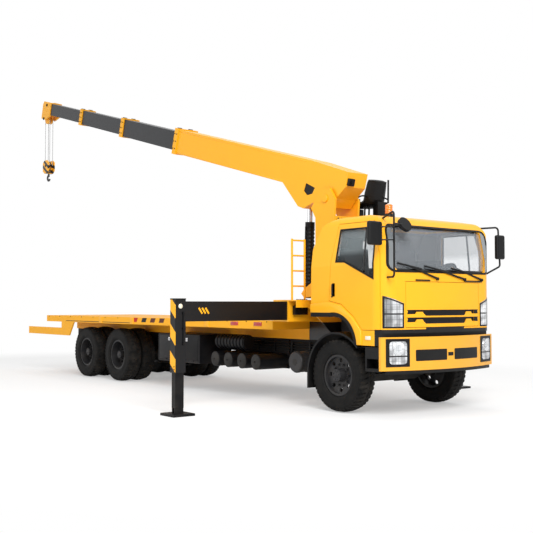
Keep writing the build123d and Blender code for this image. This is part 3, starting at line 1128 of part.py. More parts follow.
DOOR_OUTLINE = (
    (DOOR_FRONT, DOOR_BOTTOM), (580, DOOR_BOTTOM), (400, 1420), (150, 1590), (-DOOR_REAR, 1640),
    (-DOOR_REAR + 40, 2240), (40, CAB_ROOF - 125), (770, CAB_ROOF - 125), (DOOR_FRONT, 2300),
)
WINDOW_OUTLINE = ((20, 2200), (212, 2195), (811, 1934), (815, 2418), (750, 2690), (75, 2690))
WINDOW_CLEARANCE = 0.5
SCREEN_SIZE = (2010, 670)
SCREEN_Z = 2385
SCREEN_CORNER = 110
REAR_WINDOW_SIZE = (1200, 420)
REAR_WINDOW_Z = 2370


def door_prism(outline, grow, side, mode):
    """Extrude a side outline, grown all round, through one side wall of the part in hand."""
    y_limits = sorted((side * CAB_HALF_WIDTH * 0.8, side * CAB_HALF_WIDTH * 1.1))
    with BuildSketch(Plane.XZ.offset(-y_limits[1])) as prism:
        with BuildLine():
            Polyline(*[(FRONT_AXLE_X + x, z) for x, z in outline], close=True)
        make_face()
        if grow:
            offset(amount=grow, kind=Kind.INTERSECTION, mode=Mode.REPLACE)
    extrude(prism.sketch, amount=y_limits[1] - y_limits[0], mode=mode)


def end_prism(size, z, grow, x_low, x_high, mode):
    """Extrude a round-cornered window shape, seen from the front, between two X planes."""
    with BuildSketch(Plane.YZ.offset(x_low)) as prism:
        with Locations((0, z)):
            RectangleRounded(size[0] + 2 * grow, size[1] + 2 * grow, SCREEN_CORNER + grow)
    extrude(prism.sketch, amount=x_high - x_low, mode=mode)


SCREEN_X = (FRONT_AXLE_X + CAB_FRONT - 420, FRONT_AXLE_X + CAB_FRONT + 100)
BACK_X = (FRONT_AXLE_X - CAB_REAR - 100, FRONT_AXLE_X - CAB_REAR + 200)
LAMP_OUTLINE = ((835, 1250), (835, 1600), (1260, 1745), (1260, 1250))
LAMP_DEPTH = 40
LAMP_BACK_X = FRONT_AXLE_X + DOOR_FRONT + 30
LID_Y = (-LID_HALF_WIDTH, LID_HALF_WIDTH)


def lamp_prism(side, grow, mode):
    """Extrude a headlamp's front outline through the cab's corner in the part in hand."""
    with BuildSketch(Plane.YZ.offset(LAMP_BACK_X - grow)) as prism:
        with BuildLine():
            Polyline(*[(side * y, z) for y, z in LAMP_OUTLINE], close=True)
        make_face()
        if grow:
            offset(amount=grow, kind=Kind.INTERSECTION, mode=Mode.REPLACE)
    extrude(prism.sketch, amount=500, mode=mode)


wall = cab_skin(0, CAB_WALL)
lid_skin = cab_skin(0, LID_THICKNESS)
lid_space_skin = cab_skin(-20, LID_THICKNESS + PANEL_GAP)
lamp_skin = cab_skin(0, LAMP_DEPTH)
lamp_space_skin = cab_skin(-20, LAMP_DEPTH + WINDOW_CLEARANCE)
glass_skin = cab_skin((CAB_WALL - GLASS) / 2, (CAB_WALL + GLASS) / 2)

with BuildPart() as lid_space:
    add(lid_space_skin)
    block((FRONT_AXLE_X + DOOR_FRONT, FRONT_AXLE_X + 2 * CAB_FRONT),
          (LID_Y[0] - PANEL_GAP, LID_Y[1] + PANEL_GAP), (LID_BOTTOM - PANEL_GAP, LID_TOP + PANEL_GAP),
          mode=Mode.INTERSECT)

lamp_spaces = []
for side in SIDES.values():
    with BuildPart() as lamp_space:
        add(lamp_space_skin)
        lamp_prism(side, WINDOW_CLEARANCE, Mode.INTERSECT)
    lamp_spaces.append(lamp_space.part)

with BuildPart() as cab_shell:
    add(wall)
    for side in SIDES.values():
        door_prism(DOOR_OUTLINE, PANEL_GAP, side, Mode.SUBTRACT)
    end_prism(SCREEN_SIZE, SCREEN_Z, 0, *SCREEN_X, Mode.SUBTRACT)
    end_prism(REAR_WINDOW_SIZE, REAR_WINDOW_Z, 0, *BACK_X, Mode.SUBTRACT)
    add(lid_space.part, mode=Mode.SUBTRACT)
    for space in lamp_spaces:
        add(space, mode=Mode.SUBTRACT)
save(cab_shell, "cab_shell")

with BuildPart() as cab_glass:
    add(glass_skin)
    end_prism(SCREEN_SIZE, SCREEN_Z, -WINDOW_CLEARANCE, *SCREEN_X, Mode.INTERSECT)
save(cab_glass, "windscreen")

with BuildPart() as rear_glass:
    add(glass_skin)
    end_prism(REAR_WINDOW_SIZE, REAR_WINDOW_Z, -WINDOW_CLEARANCE, *BACK_X, Mode.INTERSECT)
save(rear_glass, "rear_window")

for side_name, side in SIDES.items():
    with BuildPart() as door:
        add(wall)
        door_prism(DOOR_OUTLINE, 0, side, Mode.INTERSECT)
        door_prism(WINDOW_OUTLINE, 0, side, Mode.SUBTRACT)
    save(door, f"door_{side_name}")
    with BuildPart() as door_glass:
        add(glass_skin)
        door_prism(WINDOW_OUTLINE, -WINDOW_CLEARANCE, side, Mode.INTERSECT)
    save(door_glass, f"door_glass_{side_name}")

# Front lid: the panel under the windscreen, with two rows of grille slots
GRILLE_SLOTS = ((1448, 1500), (1335, 1392))
GRILLE_HALF_WIDTH = 690
with BuildPart() as front_lid:
    add(lid_skin)
    lid_x = (FRONT_AXLE_X + DOOR_FRONT, FRONT_AXLE_X + 2 * CAB_FRONT)
    block(lid_x, LID_Y, (LID_BOTTOM, LID_TOP), mode=Mode.INTERSECT)
    for slot in GRILLE_SLOTS:
        block(lid_x, (-GRILLE_HALF_WIDTH, GRILLE_HALF_WIDTH), slot, mode=Mode.SUBTRACT)
save(front_lid, "front_lid")

lamps = []
for side in SIDES.values():
    with BuildPart() as lamp:
        add(lamp_skin)
        lamp_prism(side, 0, Mode.INTERSECT)
    lamps.append(lamp.part)
with BuildPart() as head_lamps:
    for lamp_part in lamps:
        add(lamp_part)
save(head_lamps, "head_lamps")

# Dashboard: a deep shelf against the front wall, with the steering column and wheel on the left
DASH_BACK = 690
DASH_BOTTOM = 1690
DASH_TOP = 1960
DASH_HALF_WIDTH = 1015
TRIM_CLEARANCE = 0.3
DRIVER_Y = 540
WHEEL_RIM_RADIUS = 215
WHEEL_RIM_STOCK = 18
WHEEL_TILT = 40
WHEEL_CENTRE = (FRONT_AXLE_X + 590, DRIVER_Y, 2060)

with BuildPart() as cab_room:
    hull(CAB_WALL + TRIM_CLEARANCE)

with BuildPart() as dashboard:
    block((FRONT_AXLE_X + DASH_BACK, FRONT_AXLE_X + CAB_FRONT), (-DASH_HALF_WIDTH, DASH_HALF_WIDTH),
          (DASH_BOTTOM, DASH_TOP))
    add(cab_room.part, mode=Mode.INTERSECT)
    with BuildSketch(Plane(origin=WHEEL_CENTRE, z_dir=(sin(radians(WHEEL_TILT)), 0, -cos(radians(WHEEL_TILT))))):
        Circle(WHEEL_RIM_STOCK * 1.4)
    extrude(amount=320)
    with Locations(Location(WHEEL_CENTRE, (0, -WHEEL_TILT, 0))):
        Torus(WHEEL_RIM_RADIUS, WHEEL_RIM_STOCK)
        Box(2 * WHEEL_RIM_RADIUS, 2 * WHEEL_RIM_STOCK, WHEEL_RIM_STOCK)
        Cylinder(WHEEL_RIM_STOCK * 3, WHEEL_RIM_STOCK * 2)
save(dashboard, "dashboard")

# Cab seats: a box base, a cushion and a back with a headrest on each side
SEAT_HALF_WIDTH = 250
CAB_FLOOR = CAB_ARCH_TOP + CAB_WALL + TRIM_CLEARANCE

with BuildPart() as cab_seats:
    for side in SIDES.values():
        y_limits = (side * DRIVER_Y - SEAT_HALF_WIDTH, side * DRIVER_Y + SEAT_HALF_WIDTH)
        block((FRONT_AXLE_X - 340, FRONT_AXLE_X - 100), (y_limits[0] + 60, y_limits[1] - 60), (CAB_FLOOR, 1740))
        side_slab(
            [
                (FRONT_AXLE_X + x, z)
                for x, z in ((-320, 1720), (190, 1760), (200, 1860), (-170, 1850), (-210, 2440), (-330, 2440))
            ],
            *y_limits,
        )
        side_slab(
            [(FRONT_AXLE_X + x, z) for x, z in ((-320, 2430), (-215, 2430), (-200, 2600), (-290, 2600))],
            y_limits[0] + 110, y_limits[1] - 110,
        )
save(cab_seats, "cab_seats")

# Mirrors: a tall stay with a main and a round mirror on the right, and a bracket with one mirror on the left
STAY_RADIUS = 14
STAY_BEND = 50
ARM_RADIUS = 10
MIRROR_DEPTH = 70
MIRROR_ROUND = 30
STAY_X = FRONT_AXLE_X + FRONT_OVERHANG - STAY_RADIUS - 5
RIGHT_MIRROR = (FRONT_AXLE_X + 1010, -1375, 2566)
RIGHT_MIRROR_SIZE = (MIRROR_DEPTH, 260, 330)
ROUND_MIRROR = (STAY_X - 70, -860, 2705)
ROUND_MIRROR_RADIUS = 110
LEFT_MIRROR = (FRONT_AXLE_X + 990, 1420, 2480)
LEFT_MIRROR_SIZE = (MIRROR_DEPTH, 200, 380)


def stay(*points, radius=STAY_RADIUS):
    """Sweep a round bar along straight runs with bent corners, in the part in hand."""
    with BuildLine() as path:
        if len(points) > 2:
            FilletPolyline(*points, radius=STAY_BEND)
        else:
            Line(*points)
    with BuildSketch(Plane(origin=path.line @ 0, z_dir=path.line % 0)) as section:
        Circle(radius)
    sweep(section.sketch, path=path.line)


with BuildPart() as cab_outside:
    hull()

mirror_cases = []
for case_centre, case_size in ((RIGHT_MIRROR, RIGHT_MIRROR_SIZE), (LEFT_MIRROR, LEFT_MIRROR_SIZE)):
    with BuildPart() as mirror_case:
        with Locations(case_centre):
            Box(*case_size)
        fillet(mirror_case.edges(), radius=MIRROR_ROUND)
    mirror_cases.append(mirror_case.part)

with BuildPart() as mirrors:
    stay((FRONT_AXLE_X + 930, -1080, 1965), (STAY_X, -1150, 1965), (STAY_X, -1150, 2880),
         (FRONT_AXLE_X + 760, -1000, 2790))
    for arm_z in (RIGHT_MIRROR[2] - 90, RIGHT_MIRROR[2] + 90):
        stay((STAY_X, -1150, arm_z), (RIGHT_MIRROR[0], RIGHT_MIRROR[1] + 60, arm_z),
             radius=ARM_RADIUS)
    stay((STAY_X, -1150, ROUND_MIRROR[2]), ROUND_MIRROR, radius=ARM_RADIUS)
    with Locations(Location(ROUND_MIRROR, (0, 60, 0))):
        Cylinder(ROUND_MIRROR_RADIUS, MIRROR_DEPTH * 0.7)
    stay((FRONT_AXLE_X + 760, 1000, 2760), (LEFT_MIRROR[0], LEFT_MIRROR[1] - 40, 2790),
         (LEFT_MIRROR[0], LEFT_MIRROR[1], 2180), (FRONT_AXLE_X + 930, 1080, 2030))
    for case_part in mirror_cases:
        add(case_part)
    add(cab_outside.part, mode=Mode.SUBTRACT)
save(mirrors, "mirrors")

# Beacon: a low drum on the right of the roof
BEACON_RADIUS = 48
BEACON_TOP = 2990
with BuildPart() as beacon:
    with Locations((FRONT_AXLE_X + 520, -600, BEACON_TOP - 100)):
        Cylinder(BEACON_RADIUS, 200)
    add(cab_outside.part, mode=Mode.SUBTRACT)
    fillet(beacon.edges().group_by(Axis.Z)[-1], radius=BEACON_RADIUS / 3)
save(beacon, "beacon")
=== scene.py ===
"""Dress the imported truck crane: finishes, tyres, fittings and marks, with its stage, light and camera.

Metres, +X to the truck's front, +Y to its left, +Z up and the ground at Z = 0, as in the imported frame.
"""

from __future__ import annotations

import json
import logging
from collections.abc import Callable, Sequence
from dataclasses import dataclass
from enum import Enum
from math import cos, radians, sin, tau

import bmesh
import bpy
from mathutils import Matrix, Vector

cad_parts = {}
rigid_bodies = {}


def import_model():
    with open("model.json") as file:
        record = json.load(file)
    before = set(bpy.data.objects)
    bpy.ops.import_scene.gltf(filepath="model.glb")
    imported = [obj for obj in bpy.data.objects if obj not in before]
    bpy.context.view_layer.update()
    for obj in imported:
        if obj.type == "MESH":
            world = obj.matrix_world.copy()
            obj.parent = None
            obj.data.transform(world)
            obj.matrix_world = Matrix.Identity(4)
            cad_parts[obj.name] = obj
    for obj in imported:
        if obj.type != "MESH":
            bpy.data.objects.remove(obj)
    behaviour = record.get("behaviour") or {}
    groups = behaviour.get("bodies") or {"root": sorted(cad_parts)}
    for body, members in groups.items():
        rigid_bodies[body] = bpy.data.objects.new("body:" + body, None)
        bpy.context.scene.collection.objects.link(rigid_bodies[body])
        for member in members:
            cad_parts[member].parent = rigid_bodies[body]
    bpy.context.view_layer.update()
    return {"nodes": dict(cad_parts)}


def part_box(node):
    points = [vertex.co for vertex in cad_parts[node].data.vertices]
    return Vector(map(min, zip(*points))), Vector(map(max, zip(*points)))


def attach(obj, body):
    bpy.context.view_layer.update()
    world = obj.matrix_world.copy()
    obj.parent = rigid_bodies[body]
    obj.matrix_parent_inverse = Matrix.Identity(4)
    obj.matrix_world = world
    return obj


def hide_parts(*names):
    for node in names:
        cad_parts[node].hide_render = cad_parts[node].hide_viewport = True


LOG = logging.getLogger("truck_crane")

FRONT_AXLE_X = 5.79735
REAR_AXLES_X = (FRONT_AXLE_X - 6.65, FRONT_AXLE_X - 8.05)
WHEEL_RADIUS = 0.5425
TRACK_HALF = 1.014
TWIN_SPACING = 0.330
COLUMN_X = FRONT_AXLE_X - 1.2
PIVOT_Z = 3.33
BOOM_TILT = radians(15.7)
CAB_HALF_WIDTH = 1.2
DECK_HALF_WIDTH = 1.2

# Edges sharper than these angles, in degrees, stay sharp
SHARP_ANGLE = 35.0
TREAD_ANGLE = 28.0
ARCH_ANGLE = 50.0
SOFT_ANGLE = 60.0

# A turned outline that closes on its axis ends at this radius
NEAR_AXIS = 0.0001
MERGE_DISTANCE = 0.00002

Colour = tuple[float, float, float, float]
Point = tuple[float, float, float]
Pair = tuple[float, float]
Outline = Sequence[Pair]

YELLOW: Colour = (0.90, 0.415, 0.011, 1.0)
# The cab's yellow paint darkened for the bumper, as painted shade.
SHADED_BUMPER_YELLOW: Colour = (0.80, 0.370, 0.011, 1.0)
WORN_YELLOW: Colour = (0.42, 0.22, 0.03, 1.0)
BLACK: Colour = (0.004, 0.004, 0.0045, 1.0)
CHARCOAL: Colour = (0.005, 0.005, 0.006, 1.0)
RED: Colour = (0.45, 0.018, 0.012, 1.0)
RUST: Colour = (0.09, 0.020, 0.008, 1.0)
CREAM: Colour = (0.80, 0.74, 0.58, 1.0)
DUST: Colour = (0.13, 0.11, 0.09, 1.0)
CAB_GREY: Colour = (0.30, 0.30, 0.31, 1.0)
# Near black, painted on the cab's lower inside as painted shade.
CAB_PAINTED_SHADE: Colour = (0.020, 0.026, 0.026, 1.0)
# The dark of the lens lines and of the lenses' painted shade.
LENS_SHADE: Colour = (0.05, 0.052, 0.056, 1.0)
WHITE: Colour = (1.0, 1.0, 1.0, 1.0)

FORWARD = Vector((1.0, 0.0, 0.0))
UP = Vector((0.0, 0.0, 1.0))


class Axis(Enum):
    """The frame's three axes, by their place in a vector."""

    X = 0
    Y = 1
    Z = 2


def spaced(start: float, step: float, count: int) -> list[float]:
    """Give a number of values from a start, a step apart."""
    return [start + number * step for number in range(count)]


def rectangle(left: float, right: float, low: float, high: float) -> Outline:
    """Give a rectangle's corners in order, from the lower left."""
    return [(left, low), (right, low), (right, high), (left, high)]


def ring(centre: Vector, radius: float, count: int, second: Axis, start: float = 0.0) -> list[Vector]:
    """Give points round a circle that lies in X and a second axis.

    Args:
        centre: The circle's centre.
        radius: Its radius.
        count: The number of points.
        second: The axis that spans the circle with X.
        start: The first point's angle in radians.

    Returns:
        The points.
    """
    points = []
    for angle in spaced(start, tau / count, count):
        point = centre + FORWARD * radius * cos(angle)
        point[second.value] += radius * sin(angle)
        points.append(point)
    return points


def ribs(heights: Sequence[float], rises: Sequence[float], valley: float, crest: float) -> Outline:
    """Give a ribbed sleeve's outline, from its ribs' starts, their corners' rises and its two radii."""
    corners = list(zip((valley, crest, crest, valley), rises))
    return [(radius, height + rise) for height in heights for radius, rise in corners]


def dimmed(colour: Colour, share: float) -> Colour:
    """Give a colour at a share of its brightness."""
    return (*(part * share for part in colour[:3]), 1.0)


class Side(Enum):
    """The truck's two sides, by the sign of their Y."""

    RIGHT = -1
    LEFT = 1

    @property
    def word(self) -> str:
        """Give the side's name as the frame's nodes and bodies spell it."""
        return self.name.lower()

    @property
    def outward(self) -> Vector:
        """Give the direction away from the truck's middle."""
        return Vector((0.0, float(self.value), 0.0))

    def mirrored(self, outline: Outline) -> Outline:
        """Give an outline of Y and Z, drawn for the left, on this side."""
        return [(self.value * y, z) for y, z in outline]


class Sock:
    """One output socket, whose arithmetic adds Math nodes to its tree."""

    def __init__(self, tree: Tree, socket: bpy.types.NodeSocket) -> None:
        """Keep the socket and the tree that it belongs to."""
        self.tree = tree
        self.socket = socket

    def math(self, operation: str, *others: Sock | float) -> Sock:
        """Add a Math node that starts from this socket and takes the other values."""
        return self.tree.node("ShaderNodeMath", dict(enumerate((self, *others))), operation=operation)

    def __add__(self, other: Sock | float) -> Sock:
        """Add two values."""
        return self.math("ADD", other)

    def __mul__(self, other: Sock | float) -> Sock:
        """Multiply two values."""
        return self.math("MULTIPLY", other)

    def __sub__(self, other: Sock | float) -> Sock:
        """Take a value from this."""
        return self.math("SUBTRACT", other)

    def __rsub__(self, other: float) -> Sock:
        """Take this from a number."""
        return self.tree.node("ShaderNodeMath", {0: other, 1: self}, operation="SUBTRACT")

    def __truediv__(self, other: Sock | float) -> Sock:
        """Divide this by a value."""
        return self.math("DIVIDE", other)

    def __gt__(self, other: Sock | float) -> Sock:
        """Give one where this is the greater, and zero elsewhere."""
        return self.math("GREATER_THAN", other)

    def __lt__(self, other: Sock | float) -> Sock:
        """Give one where this is the lesser, and zero elsewhere."""
        return self.math("LESS_THAN", other)

    def inside(self, low: float, high: float) -> Sock:
        """Give one between two limits, and zero elsewhere."""
        return (self > low) * (self < high)

    def ease(self, low: float, high: float) -> Sock:
        """Rise smoothly from zero at one limit to one at the other, which may be the smaller."""
        inputs = {0: self, 1: low, 2: high, 3: 0.0, 4: 1.0}
        return self.tree.node("ShaderNodeMapRange", inputs, interpolation_type="SMOOTHSTEP")


class Tree:
    """A node tree in the making."""

    def __init__(self, tree: bpy.types.NodeTree) -> None:
        """Keep a material's or a world's node tree."""
        self.tree = tree

    def node(
        self, kind: str, inputs: dict[int | str, object] | None = None, output: int | str = 0,
        **settings: object,
    ) -> Sock:
        """Add any node and give one of its outputs.

        Args:
            kind: Blender's type name of the node.
            inputs: The value or link of each socket, by place or name.
            output: The output wanted, by place or name.
            settings: The node's own properties.

        Returns:
            The output, ready for arithmetic.
        """
        made = self.tree.nodes.new(kind)
        for key, value in settings.items():
            setattr(made, key, value)
        self.feed(made, inputs or {})
        return Sock(self, made.outputs[output])

    def feed(self, made: bpy.types.Node, inputs: dict[int | str, object]) -> None:
        """Set or link a node's inputs.

        Args:
            made: The node.
            inputs: The value or link of each socket, by place or name.
        """
        for key, value in inputs.items():
            if isinstance(value, Sock):
                self.tree.links.new(value.socket, made.inputs[key])
            else:
                made.inputs[key].default_value = value


class Shader(Tree):
    """A material in the making: its nodes, its Principled shader and its places on the piece."""

    def __init__(self, name: str) -> None:
        """Start a material with an empty Principled shader.

        Args:
            name: The material's name.
        """
        self.material = bpy.data.materials.new(name)
        self.material.use_nodes = True
        super().__init__(self.material.node_tree)
        self.surface = self.tree.nodes["Principled BSDF"]
        self.point = self.node("ShaderNodeTexCoord", output="Object")

    def axis(self, axis: Axis, point: Sock | None = None) -> Sock:
        """Give one coordinate of a point, by default of the point on the piece."""
        return self.node("ShaderNodeSeparateXYZ", {0: point or self.point}, axis.value)

    def turned(self, centre: Point, turn: Point) -> Sock:
        """Give the point on the piece in a frame that is moved and then turned, in radians."""
        inputs = {"Vector": self.point, "Location": centre, "Rotation": turn}
        return self.node("ShaderNodeMapping", inputs, vector_type="TEXTURE")

    def noise(self, scale: float, detail: float = 3.0) -> Sock:
        """Give a soft noise from zero to one at a scale in cycles per metre."""
        return self.node("ShaderNodeTexNoise", {"Vector": self.point, "Scale": scale, "Detail": detail})

    def mix(self, factor: Sock | float, first: Sock | Colour, second: Sock | Colour) -> Sock:
        """Blend two colours by a factor."""
        return self.node("ShaderNodeMix", {0: factor, 6: first, 7: second}, 2, data_type="RGBA")

    def bump(self, height: Sock, depth: float) -> None:
        """Raise the surface by a height map, whose height of one stands out by a depth in metres."""
        inputs = {"Height": height, "Distance": depth, "Strength": 0.5}
        self.feed(self.surface, {"Normal": self.node("ShaderNodeBump", inputs)})

    def slanted(self, start: Point, angle: float, width: float) -> Sock:
        """Give slanted stripes that cross a face seen from the truck's side.

        Args:
            start: Where a stripe begins.
            angle: The slant in radians.
            width: The width of a light and dark pair.

        Returns:
            One in the light stripes and zero in the dark ones.
        """
        along = self.axis(Axis.X) - start[0]
        up = self.axis(Axis.Z) - start[2]
        phase = (along * sin(angle) + up * cos(angle)) / width
        return phase.math("FRACT") > 0.5


@dataclass(frozen=True)
class Finish:
    """A finish of one colour with grain in its tone, gloss and relief, and the record's slot for it."""

    name: str
    colour: Colour
    slot: str = "yellow_paint"
    roughness: float = 0.45
    metallic: float = 0.0
    coat: float = 0.0
    grain: float = 40.0
    mottle: float = 0.12
    relief: float = 0.0004
    dust: float = 0.0
    shine: float = 0.5

    def tone(self, shader: Shader) -> Sock:
        """Give the finish's own colour over the piece, before its dust."""
        shade = dimmed(self.colour, 1.0 - self.mottle)
        return shader.mix(shader.noise(self.grain * 0.12, 4.0), shade, self.colour)

    def gloss(self, shader: Shader) -> Sock:
        """Give the finish's roughness over the piece."""
        return shader.noise(self.grain * 0.4, 2.0) * 0.12 + (self.roughness - 0.06)

    def material(self) -> bpy.types.Material:
        """Build the finish's material.

        Returns:
            The material.
        """
        shader = Shader(self.name)
        colour = self.tone(shader)
        if self.dust:
            low = shader.axis(Axis.Z).ease(1.3, 0.1)
            patch = shader.noise(5.0, 5.0).ease(0.35, 0.75)
            colour = shader.mix(low * patch * self.dust, colour, DUST)
        shader.feed(shader.surface, {
            "Base Color": colour, "Roughness": self.gloss(shader), "Metallic": self.metallic,
            "Coat Weight": self.coat, "Coat Roughness": 0.14, "Specular IOR Level": self.shine,
        })
        if self.relief:
            shader.bump(shader.noise(self.grain * 4.0), self.relief)
        return shader.material


@dataclass(frozen=True)
class BoomFinish(Finish):
    """Dark boom paint that turns yellow past a station along the boom."""

    change: float = 0.0

    def tone(self, shader: Shader) -> Sock:
        """Give dark paint with a yellow end.

        Args:
            shader: The material being built.

        Returns:
            The colour.
        """
        place = shader.turned((COLUMN_X, 0.0, PIVOT_Z), (0.0, BOOM_TILT, 0.0))
        end = shader.axis(Axis.X, place) * -1.0 > self.change
        yellow = shader.mix(shader.noise(5.0, 4.0), dimmed(YELLOW, 0.9), YELLOW)
        return shader.mix(end, super().tone(shader), yellow)


@dataclass(frozen=True)
class HatchFinish(Finish):
    """Dark paint with slanted yellow stripes between two heights, on faces far from the middle."""

    low: float = 0.60
    high: float = 1.66
    pitch: float = 0.286
    slant: float = radians(42)
    outer_y: float = 3.262
    start: Point = (0.0, 0.0, 0.0)

    def tone(self, shader: Shader) -> Sock:
        """Give the plain paint with the hatched part laid over it.

        Args:
            shader: The material being built.

        Returns:
            The colour.
        """
        stripes = shader.slanted(self.start, self.slant, self.pitch)
        field = shader.axis(Axis.Z).inside(self.low, self.high)
        field = field * (shader.axis(Axis.Y).math("ABSOLUTE") > self.outer_y)
        return shader.mix(field * stripes, super().tone(shader), YELLOW)


@dataclass(frozen=True)
class GlassFinish:
    """Tinted glass, with a dark printed border where one is given, and above a given level more of its pale
    tint as a painted reflection, with a clearer lower part.
    """

    name: str
    tint: Colour
    alpha: float
    border: Callable[[Shader], Sock] | None = None
    level: float = 0.0
    low_alpha: float = 0.0
    slot: str = "window"

    def material(self) -> bpy.types.Material:
        """Build the glass.

        Returns:
            The material.
        """
        shader = Shader(self.name)
        haze = shader.noise(2.0, 2.0) * 0.04
        colour = self.tint
        alpha = haze + self.alpha
        if self.level:
            # Above the level the glass shows more of its pale tint as a painted reflection, and below it the
            # glass is clearer onto the dark inside.
            upper = shader.axis(Axis.Z).ease(self.level - 0.06, self.level + 0.06)
            alpha = upper * (self.alpha - self.low_alpha) + self.low_alpha
        if self.border:
            edge = self.border(shader)
            colour = shader.mix(edge, self.tint, BLACK)
            alpha = (alpha + edge).math("MINIMUM", 1.0)
        inputs = {"Base Color": colour, "Roughness": haze + 0.04, "Alpha": alpha, "IOR": 1.5}
        shader.feed(shader.surface, inputs)
        return shader.material


@dataclass(frozen=True)
class TyreFinish(Finish):
    """Black rubber with fine rings on its walls and dust in its tread."""

    centre: Point = (0.0, 0.0, 0.0)

    def material(self) -> bpy.types.Material:
        """Build the rubber with rings about the wheel's axle.

        Returns:
            The material.
        """
        shader = Shader(self.name)
        across = shader.axis(Axis.X) - self.centre[0]
        up = shader.axis(Axis.Z) - self.centre[2]
        radius = (across * across + up * up).math("SQRT")
        tread = radius.ease(0.46, 0.54)
        patch = shader.noise(9.0, 5.0).ease(0.3, 0.8)
        colour = shader.mix(patch * (tread * 0.12 + 0.04), super().tone(shader), DUST)
        gloss = shader.noise(30.0) * 0.15 + 0.62
        inputs = {"Base Color": colour, "Roughness": gloss, "Specular IOR Level": self.shine}
        shader.feed(shader.surface, inputs)
        rings = (radius * 260.0).math("SINE") * (1.0 - tread)
        shader.bump(rings * 0.5 + shader.noise(120.0) * 0.6, 0.0012)
        return shader.material


